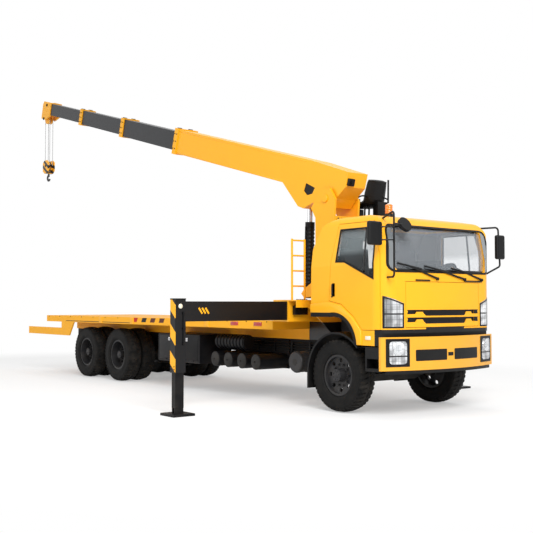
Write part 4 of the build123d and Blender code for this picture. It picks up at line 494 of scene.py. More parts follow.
class Piece:
    """One new mesh in the making, which ends as an object that rides on a body."""

    def __init__(self, name: str) -> None:
        """Start an empty mesh under the finished object's name."""
        self.name = name
        self.bm = bmesh.new()

    def block(self, low: Point, high: Point, bevel: float = 0.004, turn: Matrix | None = None) -> None:
        """Add a box between two corners with eased edges.

        Args:
            low: The lowest corner.
            high: The highest corner.
            bevel: The width of the eased edges.
            turn: A rotation about the box's centre.
        """
        size = Vector(high) - Vector(low)
        middle = (Vector(high) + Vector(low)) / 2
        matrix = Matrix.Translation(middle) @ (turn or Matrix()) @ Matrix.Diagonal((*size, 1.0))
        made = bmesh.ops.create_cube(self.bm, size=1.0, matrix=matrix)
        self.ease(made["verts"], bevel)

    def bevel(
        self, geom: Sequence[object], width: float, steps: int, affect: str = "EDGES"
    ) -> dict[str, list]:
        """Round edges, or corners by their vertices, off in steps, and give the new geometry by kind."""
        return bmesh.ops.bevel(
            self.bm, geom=geom, offset=width, segments=steps, profile=0.5, affect=affect, material=-1
        )

    def ease(self, verts: Sequence[bmesh.types.BMVert], width: float) -> None:
        """Round the edges of some fresh vertices off."""
        self.bevel(list({edge for vert in verts for edge in vert.link_edges}), width, 2)

    def bar(self, start: Point, end: Point, radius: float, sides: int = 16, taper: float = 1.0) -> None:
        """Add a round bar between two points.

        Args:
            start: The first end's centre.
            end: The second end's centre.
            radius: The first end's radius.
            sides: The number of its flat sides.
            taper: The second radius as a share of the first.
        """
        run = Vector(end) - Vector(start)
        turn = run.to_track_quat("Z", "Y").to_matrix().to_4x4()
        matrix = Matrix.Translation((Vector(start) + Vector(end)) / 2) @ turn
        bmesh.ops.create_cone(
            self.bm, cap_ends=True, segments=sides, radius1=radius, radius2=radius * taper, depth=run.length,
            matrix=matrix,
        )

    def stud(self, foot: Point, outward: Vector, span: Pair, radius: float, sides: int = 6) -> None:
        """Add a short bar along a face's outward direction, from one distance to another."""
        self.bar(Vector(foot) + outward * span[0], Vector(foot) + outward * span[1], radius, sides)

    def turned(self, outline: Outline, centre: Point, outward: Vector, steps: int = 32) -> None:
        """Spin an outline of radius and height about an axis.

        Args:
            outline: The points of the outline, from the axis or round a ring.
            centre: The axis's start, at height zero.
            outward: The axis's direction.
            steps: The number of steps in the turn.
        """
        axis = outward.normalized()
        arm = axis.orthogonal().normalized()
        foot = Vector(centre)
        verts = [self.bm.verts.new(foot + arm * radius + axis * height) for radius, height in outline]
        edges = [self.bm.edges.new(pair) for pair in zip(verts, verts[1:])]
        bmesh.ops.spin(
            self.bm, geom=verts + edges, cent=centre, axis=axis, dvec=(0.0, 0.0, 0.0), angle=tau, steps=steps,
            use_merge=True, use_normal_flip=False, use_duplicate=False,
        )

    def boss(
        self, centre: Point, outward: Vector, radius: float, height: float, rounding: float, foot: float,
        steps: int = 20,
    ) -> None:
        """Turn the flat head of a pin, which has an eased edge and a foot sunk in its face."""
        edge = [(radius - rounding, height), (radius, height - 0.006), (radius, -foot)]
        self.turned([(NEAR_AXIS, height), *edge], centre, outward, steps)

    def repeat(self, verts: Sequence[bmesh.types.BMVert], centre: Point, axis: Vector, count: int) -> None:
        """Copy some geometry in a ring about an axis.

        Args:
            verts: The vertices of the first copy.
            centre: A point on the axis.
            axis: The axis's direction.
            count: The number of copies in the ring, with the first.
        """
        edges = list({edge for vert in verts for edge in vert.link_edges})
        faces = list({face for vert in verts for face in vert.link_faces})
        bmesh.ops.spin(
            self.bm, geom=list(verts) + edges + faces, cent=centre, axis=axis, dvec=(0.0, 0.0, 0.0),
            angle=tau * (count - 1) / count, steps=count - 1, use_merge=False, use_normal_flip=False,
            use_duplicate=True,
        )

    def sheet(
        self, corners: Sequence[Point], place: Callable[[Vector], Vector], thickness: Vector, cuts: int = 0,
        hole: float = 0.0, corner: float = 0.0, rim: float = 0.0,
    ) -> None:
        """Add a flat outline that is laid on a curved surface and given a thickness.

        Args:
            corners: The outline's corners in order.
            place: Moves a point of the outline onto the surface.
            thickness: The direction and depth of the sheet.
            cuts: The cuts in each of its long edges, so that it can bend.
            hole: The width of the frame that is left, or zero for a full sheet.
            corner: The radius of its corners.
            rim: The width of the rounding of its outer edges.
        """
        verts = [self.bm.verts.new(point) for point in corners]
        faces = [self.bm.faces.new(verts)]
        self.bm.normal_update()
        if corner:
            made = self.bevel(verts, corner, 5, "VERTICES")
            faces = list({face for vert in made["verts"] for face in vert.link_faces})
        if hole:
            ring_faces = bmesh.ops.inset_region(
                self.bm, faces=faces, thickness=hole, use_even_offset=True, use_boundary=True
            )["faces"]
            bmesh.ops.delete(self.bm, geom=faces, context="FACES_ONLY")
            faces = ring_faces
        if cuts:
            edges = {edge for face in faces for edge in face.edges}
            long_edges = [edge for edge in edges if edge.calc_length() > 0.15]
            made = bmesh.ops.subdivide_edges(self.bm, edges=long_edges, cuts=cuts, use_grid_fill=True)
            verts = {vert for face in faces if face.is_valid for vert in face.verts}
            verts |= {item for item in made["geom"] if isinstance(item, bmesh.types.BMVert)}
            faces = list({face for vert in verts for face in vert.link_faces})
        for vert in {vert for face in faces for vert in face.verts}:
            vert.co = place(vert.co)
        grown = bmesh.ops.extrude_face_region(self.bm, geom=faces, use_keep_orig=True)["geom"]
        raised = [item for item in grown if isinstance(item, bmesh.types.BMVert)]
        bmesh.ops.translate(self.bm, verts=raised, vec=thickness)
        if rim:
            tops = {item for item in grown if isinstance(item, bmesh.types.BMFace)}
            borders = {edge for face in tops for edge in face.edges}
            self.bevel([edge for edge in borders if not tops.issuperset(edge.link_faces)], rim, 3)

    def surface(
        self, across: int, up: int, place: Callable[[float, float], Point], depth: float = 0.0
    ) -> None:
        """Bend a grid into a surface and give it a depth.

        Args:
            across: The number of faces across the grid.
            up: The number of faces up it.
            place: Gives a vertex its point, from its shares of the way across and up.
            depth: The thickness that the surface gets.
        """
        made = bmesh.ops.create_grid(self.bm, x_segments=across, y_segments=up, size=0.5)["verts"]
        for vert in made:
            vert.co = place(round((vert.co.x + 0.5) * across) / across, round((vert.co.y + 0.5) * up) / up)
        if depth:
            self.bm.normal_update()
            faces = list({face for vert in made for face in vert.link_faces})
            bmesh.ops.solidify(self.bm, geom=faces, thickness=depth)

    def hose(self, start: Point, through: Point, end: Point, radius: float, steps: int = 12) -> None:
        """Run a bent hose between two points by way of a third.

        Args:
            start: The first end.
            through: The point that pulls the bend.
            end: The last end.
            radius: The hose's radius.
            steps: The number of straight lengths.
        """
        first, pull, last = Vector(start), Vector(through), Vector(end)
        shares = spaced(0.0, 1 / steps, steps + 1)
        points = [first.lerp(pull, share).lerp(pull.lerp(last, share), share) for share in shares]
        for low, high in zip(points, points[1:]):
            overlap = (high - low) * 0.08
            self.bar(low - overlap, high + overlap, radius, sides=10)

    def finish(self, body: str, material: bpy.types.Material, slot: str, angle: float) -> bpy.types.Object:
        """Close the mesh, shade it and set it on its body.

        Args:
            body: The body that the piece rides on.
            material: The piece's material.
            slot: The record's slot that the finish comes from; not used.
            angle: Edges sharper than this, in degrees, stay sharp.

        Returns:
            The finished object.
        """
        bmesh.ops.remove_doubles(self.bm, verts=self.bm.verts, dist=MERGE_DISTANCE)
        bmesh.ops.recalc_face_normals(self.bm, faces=self.bm.faces)
        mesh = bpy.data.meshes.new(self.name)
        self.bm.to_mesh(mesh)
        self.bm.free()
        mesh.shade_smooth()
        mesh.set_sharp_from_angle(angle=radians(angle))
        mesh.materials.append(material)
        piece = bpy.data.objects.new(self.name, mesh)
        bpy.context.scene.collection.objects.link(piece)
        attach(piece, body)
        LOG.info("%s: %d faces on %s", self.name, len(mesh.polygons), body)
        return piece


@dataclass
class Finishes:
    """The truck's shared finishes, each built into a material once."""

    yellow: Finish = Finish(
        "yellow_paint", YELLOW, roughness=0.38, coat=0.10, shine=0.25, grain=30, mottle=0.06, relief=0.00015
    )
    # The bumper's darker yellow is painted shade on the same paint.
    bumper_yellow: Finish = Finish(
        "bumper_paint", SHADED_BUMPER_YELLOW, roughness=0.36, coat=0.3, grain=30, mottle=0.08, relief=0.00015
    )
    pane: Finish = Finish(
        "dark_pane", (0.22, 0.24, 0.25, 1.0), "window", roughness=0.10, coat=0.6, grain=6, mottle=0.35,
        relief=0.0,
    )
    dark: Finish = Finish(
        "dark_paint", CHARCOAL, "dark_paint", roughness=0.40, coat=0.02, mottle=0.25, dust=0.08, shine=0.14
    )
    frame: Finish = Finish(
        "frame_paint", CHARCOAL, "frame_paint", roughness=0.5, grain=60, mottle=0.3, dust=0.12, shine=0.14
    )
    grey: Finish = Finish(
        "grey_paint", (0.020, 0.020, 0.022, 1.0), "grey_paint", grain=50, mottle=0.25, dust=0.18, shine=0.3
    )
    cast: Finish = Finish(
        "cast_metal", (0.024, 0.023, 0.022, 1.0), "cast_metal", roughness=0.6, metallic=0.3, grain=90,
        mottle=0.4, relief=0.001, dust=0.2, shine=0.3,
    )
    steel: Finish = Finish(
        "bright_steel", (0.62, 0.62, 0.63, 1.0), "bright_steel", roughness=0.18, metallic=1.0, grain=200,
        relief=0.0,
    )
    wire: Finish = Finish(
        "rope_wire", (0.30, 0.30, 0.30, 1.0), "wire", roughness=0.4, metallic=0.9, grain=600, relief=0.001
    )
    trim: Finish = Finish(
        "black_plastic", BLACK, "trim", grain=300, mottle=0.3, relief=0.0003, dust=0.06, shine=0.22
    )
    rubber: Finish = Finish(
        "seal_rubber", (0.004, 0.004, 0.004, 1.0), "trim", roughness=0.6, grain=200, relief=0.0002, shine=0.2
    )
    cloth: Finish = Finish(
        "seat_cloth", (0.10, 0.10, 0.11, 1.0), "cloth", roughness=0.85, grain=400, mottle=0.4, relief=0.0008
    )
    red: Finish = Finish(
        "red_lens", RED, "amber", roughness=0.15, coat=0.6, grain=300, mottle=0.2, relief=0.0006
    )
    amber: Finish = Finish(
        "amber_lens", (0.85, 0.22, 0.010, 1.0), "amber", roughness=0.12, coat=0.6, grain=300, relief=0.0006
    )
    cream: Finish = Finish("cream_lens", CREAM, "lamp", roughness=0.25, coat=0.4, grain=200)
    mirror: Finish = Finish(
        "reflector", (0.85, 0.86, 0.87, 1.0), "lamp", roughness=0.08, metallic=1.0, grain=20, relief=0.0
    )

    def __post_init__(self) -> None:
        """Start with no material built."""
        self.built: dict[str, bpy.types.Material] = {}

    def __call__(self, finish: Finish | GlassFinish) -> bpy.types.Material:
        """Give a finish's material, and build it the first time.

        Args:
            finish: The finish wanted.

        Returns:
            Its material.
        """
        if finish.name not in self.built:
            self.built[finish.name] = finish.material()
        return self.built[finish.name]


@dataclass
class Assembly:
    """A group of the truck's pieces, with the frame's nodes and the finishes that dress them."""

    nodes: dict[str, bpy.types.Object]
    finishes: Finishes

    def dress(self, finish: Finish | GlassFinish, *names: str) -> None:
        """Give nodes of the frame a finish in place of their own.

        Args:
            finish: The finish.
            names: The nodes' names.
        """
        material = self.finishes(finish)
        for name in names:
            for slot in self.nodes[name].material_slots:
                slot.material = material
            LOG.info("%s: %s", name, material.name)

    def fit(
        self, piece: Piece, body: str, finish: Finish | GlassFinish, angle: float = SHARP_ANGLE,
        node: str = "",
    ) -> None:
        """Finish a piece and set it on its body.

        Args:
            piece: The piece.
            body: The body that it rides on.
            finish: Its finish.
            angle: Edges sharper than this, in degrees, stay sharp.
            node: The frame's node that the piece replaces, if any.
        """
        made = piece.finish(body, self.finishes(finish), finish.slot, angle)
        if node:
            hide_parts(node)


@dataclass
class FrontAssembly(Assembly):
    """An assembly with a curved front skin that thin sheets are laid on."""

    def front_x(self, y: float, z: float) -> float:
        """Give the X of the skin's outside at a place across the truck and a height."""
        raise NotImplementedError

    def front_point(self, y: float, z: float, out: float) -> Vector:
        """Give a point that lies some distance in front of the skin."""
        return Vector((self.front_x(y, z) + out, y, z))

    def lay(
        self, piece: Piece, outline: Outline, out: float, depth: float, cuts: int, hole: float = 0.0,
        corner: float = 0.0,
    ) -> None:
        """Lay a sheet, drawn by Y and Z, with its back some distance out from the skin."""
        corners = [(0.0, y, z) for y, z in outline]
        piece.sheet(corners, lambda p: self.front_point(p.y, p.z, out), FORWARD * depth, cuts, hole, corner)


@dataclass
class RunningGear(Assembly):
    """Tyres with their tread, wheels with their nuts and caps, axles and springs."""

    rubber: Colour = (0.006, 0.006, 0.006, 1.0)
    wall: Outline = (
        (0.285, 0.101), (0.309, 0.101), (0.309, 0.126), (0.322, 0.139), (0.345, 0.146), (0.350, 0.150),
        (0.395, 0.150), (0.402, 0.147), (0.440, 0.1475), (0.470, 0.146), (0.498, 0.141), (0.515, 0.128),
    )
    rib_radius: float = WHEEL_RADIUS - 0.004
    base_radius: float = WHEEL_RADIUS - 0.018
    lug_count: int = 44
    lug_widths: Pair = (0.055, 0.046)
    lug_drops: tuple[Pair, Pair] = ((0.030, 0.055), (0.0, 0.022))
    lug_skew: float = 0.014
    lug_inner: float = 0.030
    lug_outer: float = 0.143
    nut_circle: float = 0.158
    nut_count: int = 10
    nut_radius: float = 0.017
    cap_bolts: int = 8
    front_hub: Point = (0.040, 0.150, 0.085)
    rear_hub: Point = (-0.079, 0.090, 0.075)

    def carcass(self, piece: Piece, centre: Point) -> None:
        """Spin a tyre's body with its walls, bead and tread base.

        Args:
            piece: The mesh that takes the body.
            centre: The tyre's centre.
        """
        tread = [(self.base_radius, 0.100), (self.base_radius, 0.026), (self.rib_radius, 0.022)]
        half = [*self.wall, *tread, (self.rib_radius, 0.0)]
        outline = half + [(radius, -offset) for radius, offset in reversed(half[:-1])] + half[:1]
        piece.turned(outline, centre, Side.LEFT.outward, steps=72)

    def lugs(self, piece: Piece, centre: Point, row: int) -> None:
        """Set a ring of slanted lugs on one half of the tread.

        Args:
            piece: The mesh that takes the lugs.
            centre: The tyre's centre.
            row: The sign of the half's side.
        """
        pitch = tau / self.lug_count
        before = set(piece.bm.verts)
        made = bmesh.ops.create_cube(piece.bm, size=1.0)["verts"]
        for vert in made:
            far = vert.co.y > 0
            top = vert.co.z > 0
            radius = WHEEL_RADIUS - self.lug_drops[top][far]
            across = (self.lug_outer if far else self.lug_inner) - (0.006 if top and far else 0.0)
            slant = (self.lug_skew if far else -self.lug_skew) + pitch * WHEEL_RADIUS / 4 * row
            turn = (vert.co.x * self.lug_widths[top] + slant) / WHEEL_RADIUS
            vert.co = Vector((radius * sin(turn), row * across, radius * cos(turn)))
        piece.ease(made, 0.004)
        verts = [vert for vert in piece.bm.verts if vert not in before]
        for vert in verts:
            shrink = min(1.0, WHEEL_RADIUS / vert.co.xz.length)
            vert.co = Vector((vert.co.x * shrink, vert.co.y, vert.co.z * shrink))
        bmesh.ops.translate(piece.bm, verts=verts, vec=centre)
        piece.repeat(verts, centre, Side.LEFT.outward, self.lug_count)

    def nuts(self, piece: Piece, centre: Vector, outward: Vector, hub: Point) -> None:
        """Add a wheel's ring of nuts, and the bolted cover of its hub.

        Args:
            piece: The mesh that takes them.
            centre: The wheel's centre.
            outward: The axle's outward direction.
            hub: How far out the nuts sit, how far out the hub's end is, and its radius.
        """
        seat, cap, radius = hub
        for foot in ring(centre + outward * seat, self.nut_circle, self.nut_count, Axis.Z):
            piece.stud(foot, outward, (-0.006, 0.004), self.nut_radius * 1.45, sides=14)
            piece.stud(foot, outward, (0.0, 0.028), self.nut_radius)
            piece.stud(foot, outward, (0.0, 0.040), self.nut_radius * 0.55, sides=8)
        start = tau / self.cap_bolts / 2
        for foot in ring(centre + outward * cap, radius * 0.78, self.cap_bolts, Axis.Z, start):
            piece.stud(foot, outward, (0.0, 0.008), 0.008)
        dome = [(NEAR_AXIS, 0.014), (radius * 0.30, 0.013), (radius * 0.45, 0.006), (radius * 0.52, -0.002)]
        piece.turned(dome, centre + outward * cap, outward, steps=24)

    def build(self) -> None:
        """Make every wheel's tyres and nuts, and dress the axles, springs and wheels."""
        for axle, x in (("front", FRONT_AXLE_X), ("middle", REAR_AXLES_X[0]), ("rear", REAR_AXLES_X[1])):
            rubber = TyreFinish(
                f"{axle}_tyre_rubber", self.rubber, "tyre_rubber", grain=60, mottle=0.3, shine=0.14,
                centre=(x, 0.0, WHEEL_RADIUS),
            )
            single = axle == "front"
            plural = "" if single else "s"
            for side in Side:
                body = f"{axle}_wheel{plural}_{side.word}"
                outer = side.value * TRACK_HALF
                rows = (outer,) if single else (outer, outer - side.value * TWIN_SPACING)
                for place, y in enumerate(rows):
                    piece = Piece(f"{axle}_tread_{side.word}_{place + 1}")
                    for row in (-1, 1):
                        self.lugs(piece, (x, y, WHEEL_RADIUS), row)
                    self.carcass(piece, (x, y, WHEEL_RADIUS))
                    self.fit(piece, body, rubber, TREAD_ANGLE, f"{axle}_tyre{plural}_{side.word}")
                piece = Piece(f"{axle}_nuts_{side.word}")
                centre = Vector((x, outer, WHEEL_RADIUS))
                self.nuts(piece, centre, side.outward, self.front_hub if single else self.rear_hub)
                self.fit(piece, body, self.finishes.grey)
                self.dress(self.finishes.grey, body)
        knuckles = [f"steering_knuckle_{side.word}" for side in Side]
        self.dress(self.finishes.cast, "front_axle", "rear_axles", *knuckles, "engine_block")
        self.dress(self.finishes.frame, "chassis_frame", "leaf_springs")


@dataclass(frozen=True)
class CabPaint(Finish):
    """The cab's yellow paint, black over the bumper and grey on the inside, where the lower part is painted
    near black as painted shade.
    """

    strip_from: float = 0.82
    strip_top: float = 1.232
    step_half: float = 0.42
    step_rise: float = 0.030
    lining_change: float = 2.30
    wall_half: float = 1.172
    wall_shoulder: float = 2.15
    wall_lean: float = 0.1186
    back_foot: float = -0.46
    back_shoulder: float = 2.40
    back_lean: float = 0.515
    room_front: float = 0.80
    room_z: Pair = (1.50, 2.74)
    ceiling_half: float = 1.02
    ceiling_x: Pair = (-0.15, 0.60)
    ceiling_z: Pair = (2.70, 2.84)

    def tone(self, shader: Shader) -> Sock:
        """Give yellow paint with a black strip across the front and a grey lining, painted near black below a
        height as painted shade.

        Args:
            shader: The material being built.

        Returns:
            The colour.
        """
        along = shader.axis(Axis.X) - FRONT_AXLE_X
        across = shader.axis(Axis.Y).math("ABSOLUTE")
        height = shader.axis(Axis.Z)
        strip_top = (across < self.step_half) * self.step_rise + self.strip_top
        strip = (along > self.strip_from) * (height < strip_top)
        wall = (height - self.wall_shoulder).math("MAXIMUM", 0.0) * self.wall_lean + across < self.wall_half
        back = along - (height - self.back_shoulder).math("MAXIMUM", 0.0) * self.back_lean > self.back_foot
        room = wall * back * (along < self.room_front) * height.inside(*self.room_z)
        ceiling = along.inside(*self.ceiling_x) * (across < self.ceiling_half)
        ceiling = ceiling * height.inside(*self.ceiling_z)
        # Below a height the grey lining is painted near black as painted shade inside the cab.
        lining = shader.mix(height < self.lining_change, CAB_GREY, CAB_PAINTED_SHADE)
        lined = shader.mix((room + ceiling).math("MINIMUM", 1.0), super().tone(shader), lining)
        return shader.mix(strip, lined, BLACK)


@dataclass(frozen=True)
class LensFinish(Finish):
    """A clear lamp lens over bright reflectors, whose brightness and blotches are painted reflection and
    whose outer part is painted darker as painted shade, with a net of lines, a dark rim and a dark divider.
    """

    rim: tuple[float, float, float, float] = (0.0, 9.0, 0.0, 9.0)
    divider: float = 0.0
    divider_half: float = 0.010
    flute: float = 0.048
    rung: float = 0.072
    shade: float = 9.0

    def tone(self, shader: Shader) -> Sock:
        """Give bright glass with painted reflection and painted shade, and a net of lines inside a dark rim.

        Args:
            shader: The material being built.

        Returns:
            The colour.
        """
        across = shader.axis(Axis.Y).math("ABSOLUTE")
        height = shader.axis(Axis.Z)
        # The bright lens colour and its blotchy noise are painted reflection of the reflectors; past the
        # shade width across, the lens is painted darker as painted shade.
        soft = shader.noise(7.0, 1.0).ease(0.32, 0.66)
        net = ((across / self.flute).math("FRACT") < 0.14) + ((height / self.rung).math("FRACT") < 0.10)
        inner = across.ease(self.shade + 0.02, self.shade - 0.02) * 0.70 + 0.30
        painted_lens_light = shader.mix((soft * 0.65 + 0.35) * inner, LENS_SHADE, self.colour)
        painted_lens_light = shader.mix(net.math("MINIMUM", 1.0) * 0.55, painted_lens_light, LENS_SHADE)
        y_low, y_high, z_low, z_high = self.rim
        face = across.inside(y_low, y_high) * height.inside(z_low, z_high)
        clear = face * ((height - self.divider).math("ABSOLUTE") > self.divider_half)
        return shader.mix(clear, BLACK, painted_lens_light)


@dataclass
class Cab(FrontAssembly):
    """The cab's glass, seals, wipers, handles, grille, lamps, mirrors and seats."""

    front: float = FRONT_AXLE_X + 1.095
    bow_radius: float = 7.33
    corner_start: float = 0.936
    setbacks: Outline = ((1.180, 0.010), (1.600, 0.0), (2.010, 0.015), (2.700, 0.165), (2.830, 0.295))
    shoulder: float = 2.150
    lean: float = 0.070 / 0.590
    screen_half: float = 1.005
    screen_wide: float = 1.100
    screen_low: float = 2.050
    screen_high: float = 2.720
    window: Outline = (
        (0.020, 2.200), (0.212, 2.195), (0.811, 1.934), (0.815, 2.418), (0.750, 2.690), (0.075, 2.690),
    )
    window_bar: Pair = (0.575, 0.605)
    wiper_foot: float = 1.955
    wiper_spans: tuple[Point, ...] = ((-0.18, -0.82, 0.19), (0.43, -0.28, 0.16), (0.88, 0.30, 0.14))
    link_height: float = 1.93
    links: Outline = ((-0.62, -0.34), (0.43, 0.88))
    grip_x: float = FRONT_AXLE_X - 0.020
    side_lamp_x: float = FRONT_AXLE_X + 0.700
    slots: Outline = ((1.448, 1.500), (1.335, 1.392))
    arch_foot: Pair = (0.478, 1.005)
    arch_side: Pair = (0.325, 1.330)
    arch_top: Pair = (-0.090, 1.460)
    arch_rear: float = -0.520
    arch_steps: int = 18
    lip: float = 0.062
    lip_y: float = 1.172
    flare_y: float = CAB_HALF_WIDTH - 0.002
    flare: Outline = (
        (-0.520, 1.590), (-0.125, 1.624), (0.145, 1.574), (0.392, 1.406), (0.570, 1.212), (0.575, 1.010),
    )
    lamp_frame: Outline = ((0.842, 1.258), (1.150, 1.258), (1.150, 1.694), (0.842, 1.596))
    beacon_foot: Point = (FRONT_AXLE_X + 0.540, -0.600, 2.800)
    collar_height: float = 0.118

    def front_x(self, y: float, z: float) -> float:
        """Give the X of the cab's front skin, which bows, leans back and rounds off at its corners.

        Args:
            y: The place across the cab.
            z: The height.

        Returns:
            The X there.
        """
        setback = self.setbacks[-1][1]
        for (low, near), (high, far) in zip(self.setbacks, self.setbacks[1:]):
            if z <= high:
                setback = near + (z - low) / (high - low) * (far - near)
                break
        reach = min(abs(y), self.corner_start)
        past = max(0.0, abs(y) - self.corner_start)
        bow = self.bow_radius - (self.bow_radius**2 - reach**2) ** 0.5 + past * past * 2.2
        return self.front - max(setback, bow)

    def side_y(self, z: float) -> float:
        """Give the distance of the cab's side skin from the middle at a height."""
        return CAB_HALF_WIDTH - max(0.0, z - self.shoulder) * self.lean

    def glass(self) -> None:
        """Dress the windows with tinted glass and their printed borders."""
        def screen_border(shader: Shader) -> Sock:
            """Give one near the windscreen's upper and lower edges."""
            height = shader.axis(Axis.Z)
            return (height < self.screen_low + 0.04) + (height > self.screen_high - 0.03)

        def divider(shader: Shader) -> Sock:
            """Give one along the bar of the door's front light."""
            return (shader.axis(Axis.X) - FRONT_AXLE_X).inside(*self.window_bar)

        tint = (0.34, 0.40, 0.42, 1.0)
        screen = GlassFinish("screen_glass", (0.44, 0.48, 0.52, 1.0), 0.17, screen_border)
        # The door glass is painted paler above a level as a painted reflection.
        door = GlassFinish("door_glass", tint, 0.24, divider, level=2.33, low_alpha=0.05)
        self.dress(screen, "windscreen")
        self.dress(GlassFinish("rear_glass", tint, 0.14), "rear_window")
        self.dress(door, "door_glass_right", "door_glass_left")

    def seals(self) -> None:
        """Lay rubber frames round the windscreen and the door windows."""
        piece = Piece("windscreen_seal")
        half = self.screen_wide + 0.012
        outline = rectangle(-half, half, self.screen_low - 0.012, self.screen_high + 0.006)
        self.lay(piece, outline, -0.008, 0.016, cuts=18, hole=0.030, corner=0.125)
        self.fit(piece, "cab", self.finishes.rubber)
        for side in Side:
            piece = Piece(f"window_seal_{side.word}")
            corners = [(FRONT_AXLE_X + x, 0.0, z) for x, z in self.window]
            piece.sheet(
                corners, lambda p: Vector((p.x, side.value * (self.side_y(p.z) - 0.004), p.z)),
                side.outward * 0.010, cuts=4, hole=0.024,
            )
            self.fit(piece, f"door_{side.word}", self.finishes.rubber)

    def pane_point(self, side: Side, across: float, up: float) -> Point:
        """Give a point of the glass that rounds one corner of the cab.

        Args:
            side: The corner's side.
            across: The share of the way out from the windscreen.
            up: The share of the way up.

        Returns:
            The point.
        """
        z = self.screen_low + up * (self.screen_high - 0.012 - self.screen_low)
        near = min(up, 1.0 - up) * (self.screen_high - self.screen_low)
        inset = max(0.0, 0.10 - near)
        start = self.screen_half - 0.012
        end = self.screen_wide - inset * inset * 9.0
        return self.front_point(side.value * (start + (end - start) * across), z, 0.004)

    def side_panes(self) -> None:
        """Carry the windscreen's glass round the corners of the cab."""
        piece = Piece("screen_side_panes")
        for side in Side:
            piece.surface(5, 20, lambda across, up: self.pane_point(side, across, up))
        self.fit(piece, "cab", self.finishes.pane, SOFT_ANGLE)

    def wipers(self) -> None:
        """Set three wipers along the foot of the windscreen, and the links between them."""
        piece = Piece("wipers")
        behind = Vector((0.008, 0.0, 0.004))
        for hub_y, tip_y, rise in self.wiper_spans:
            tip_z = self.wiper_foot + rise
            hub = self.front_point(hub_y, self.wiper_foot, 0.004)
            piece.stud(hub, FORWARD, (-0.030, 0.026), 0.022, sides=16)
            piece.bar(hub + FORWARD * 0.022, self.front_point(tip_y, tip_z, 0.022), 0.016, sides=8, taper=0.6)
            start = self.front_point(tip_y + 0.32, tip_z - 0.055, 0.014)
            end = self.front_point(tip_y - 0.14, tip_z + 0.02, 0.014)
            piece.bar(start, end, 0.013, sides=8)
            piece.bar(start - behind, end - behind, 0.008, sides=6)
        for low, high in self.links:
            start = self.front_point(low, self.link_height, 0.010)
            piece.bar(start, self.front_point(high, self.link_height, 0.010), 0.011, sides=8)
        self.fit(piece, "cab", self.finishes.trim)

    def handles(self) -> None:
        """Fit the doors' grips and the side lamps."""
        for side in Side:
            y = side.value * CAB_HALF_WIDTH
            x = self.grip_x
            piece = Piece(f"door_grip_{side.word}")
            low, high = sorted((y, y - side.value * 0.012))
            piece.block((x - 0.042, low, 1.690), (x + 0.042, high + 0.004, 1.905), 0.010)
            reach = y + side.value * 0.026
            piece.bar((x + 0.004, reach, 1.720), (x + 0.004, reach, 1.880), 0.013, sides=12)
            for z in (1.728, 1.872):
                piece.stud((x + 0.004, y, z), side.outward, (-0.008, 0.028), 0.011, sides=10)
            piece.stud((x - 0.024, y, 1.700), side.outward, (-0.004, 0.012), 0.012, sides=12)
            self.fit(piece, f"door_{side.word}", self.finishes.trim)
            piece = Piece(f"side_lamp_{side.word}")
            x = self.side_lamp_x
            piece.block((x - 0.050, y - 0.014, 1.085), (x + 0.050, y + 0.014, 1.140), 0.008)
            self.fit(piece, "cab", self.finishes.cream)

    def arch_circle(self) -> tuple[Vector, float]:
        """Give the circle through the arch's three points in the side view.

        Returns:
            The circle's centre and radius.
        """
        first = Vector(self.arch_foot)
        one, two = Vector(self.arch_side) - first, Vector(self.arch_top) - first
        double = 2.0 * (one.x * two.y - one.y * two.x)
        shift = Vector((
            (two.y * one.length_squared - one.y * two.length_squared) / double,
            (one.x * two.length_squared - two.x * one.length_squared) / double,
        ))
        return first + shift, shift.length

    def arches(self) -> None:
        """Flare the cab's sides round the wheels and edge the arches with black lips."""
        centre, radius = self.arch_circle()
        level = Vector((1.0, 0.0))
        first = (Vector(self.arch_foot) - centre).angle_signed(level)
        last = (Vector(self.arch_top) - centre).angle_signed(level)
        angles = spaced(first, (last - first) / self.arch_steps, self.arch_steps + 1)
        spokes = [Vector((cos(angle), sin(angle))) for angle in angles]
        outer = [tuple(centre + spoke * radius) for spoke in spokes] + [(self.arch_rear, self.arch_top[1])]
        inner = [tuple(centre + spoke * (radius - self.lip)) for spoke in spokes]
        inner.append((self.arch_rear, self.arch_top[1] - self.lip))
        for side in Side:
            for name, outline, y, depth, rim, finish in (
                ("arch_lip", outer + inner[::-1], self.lip_y, 0.040, 0.010, self.finishes.rubber),
                ("arch_flare", [*outer, *self.flare], self.flare_y, 0.024, 0.015, self.finishes.yellow),
            ):
                piece = Piece(f"{name}_{side.word}")
                corners = [(FRONT_AXLE_X + x, side.value * y, z) for x, z in outline]
                piece.sheet(corners, lambda p: p, side.outward * depth, rim=rim)
                self.fit(piece, "cab", finish, ARCH_ANGLE)

    def grille(self) -> None:
        """Fill the lid's slots with dark slats, and bridge them with yellow."""
        slats = Piece("grille_slats")
        bridges = Piece("grille_bridges")
        for low, high in self.slots:
            self.lay(slats, rectangle(-0.686, 0.686, low, high), -0.027, 0.012, cuts=16)
            drop = ((-0.42, low - 0.024), (0.42, low - 0.024), (0.455, low + 0.004), (-0.455, low + 0.004))
            self.lay(slats, drop, -0.006, 0.009, cuts=12)
            self.lay(slats, rectangle(-0.782, 0.782, high - 0.002, high + 0.008), -0.004, 0.007, cuts=16)
            ear = ((0.680, low), (0.778, low), (0.766, high), (0.680, high))
            foot, head = low - 0.003, high - 0.020
            bridge = ((0.455, foot), (0.625, foot), (0.595, head), (0.485, head))
            for side in Side:
                self.lay(slats, side.mirrored(ear), -0.004, 0.007, cuts=2)
                self.lay(bridges, side.mirrored(bridge), -0.012, 0.013, cuts=2)
        self.fit(slats, "lid", self.finishes.trim)
        self.fit(bridges, "lid", self.finishes.yellow)

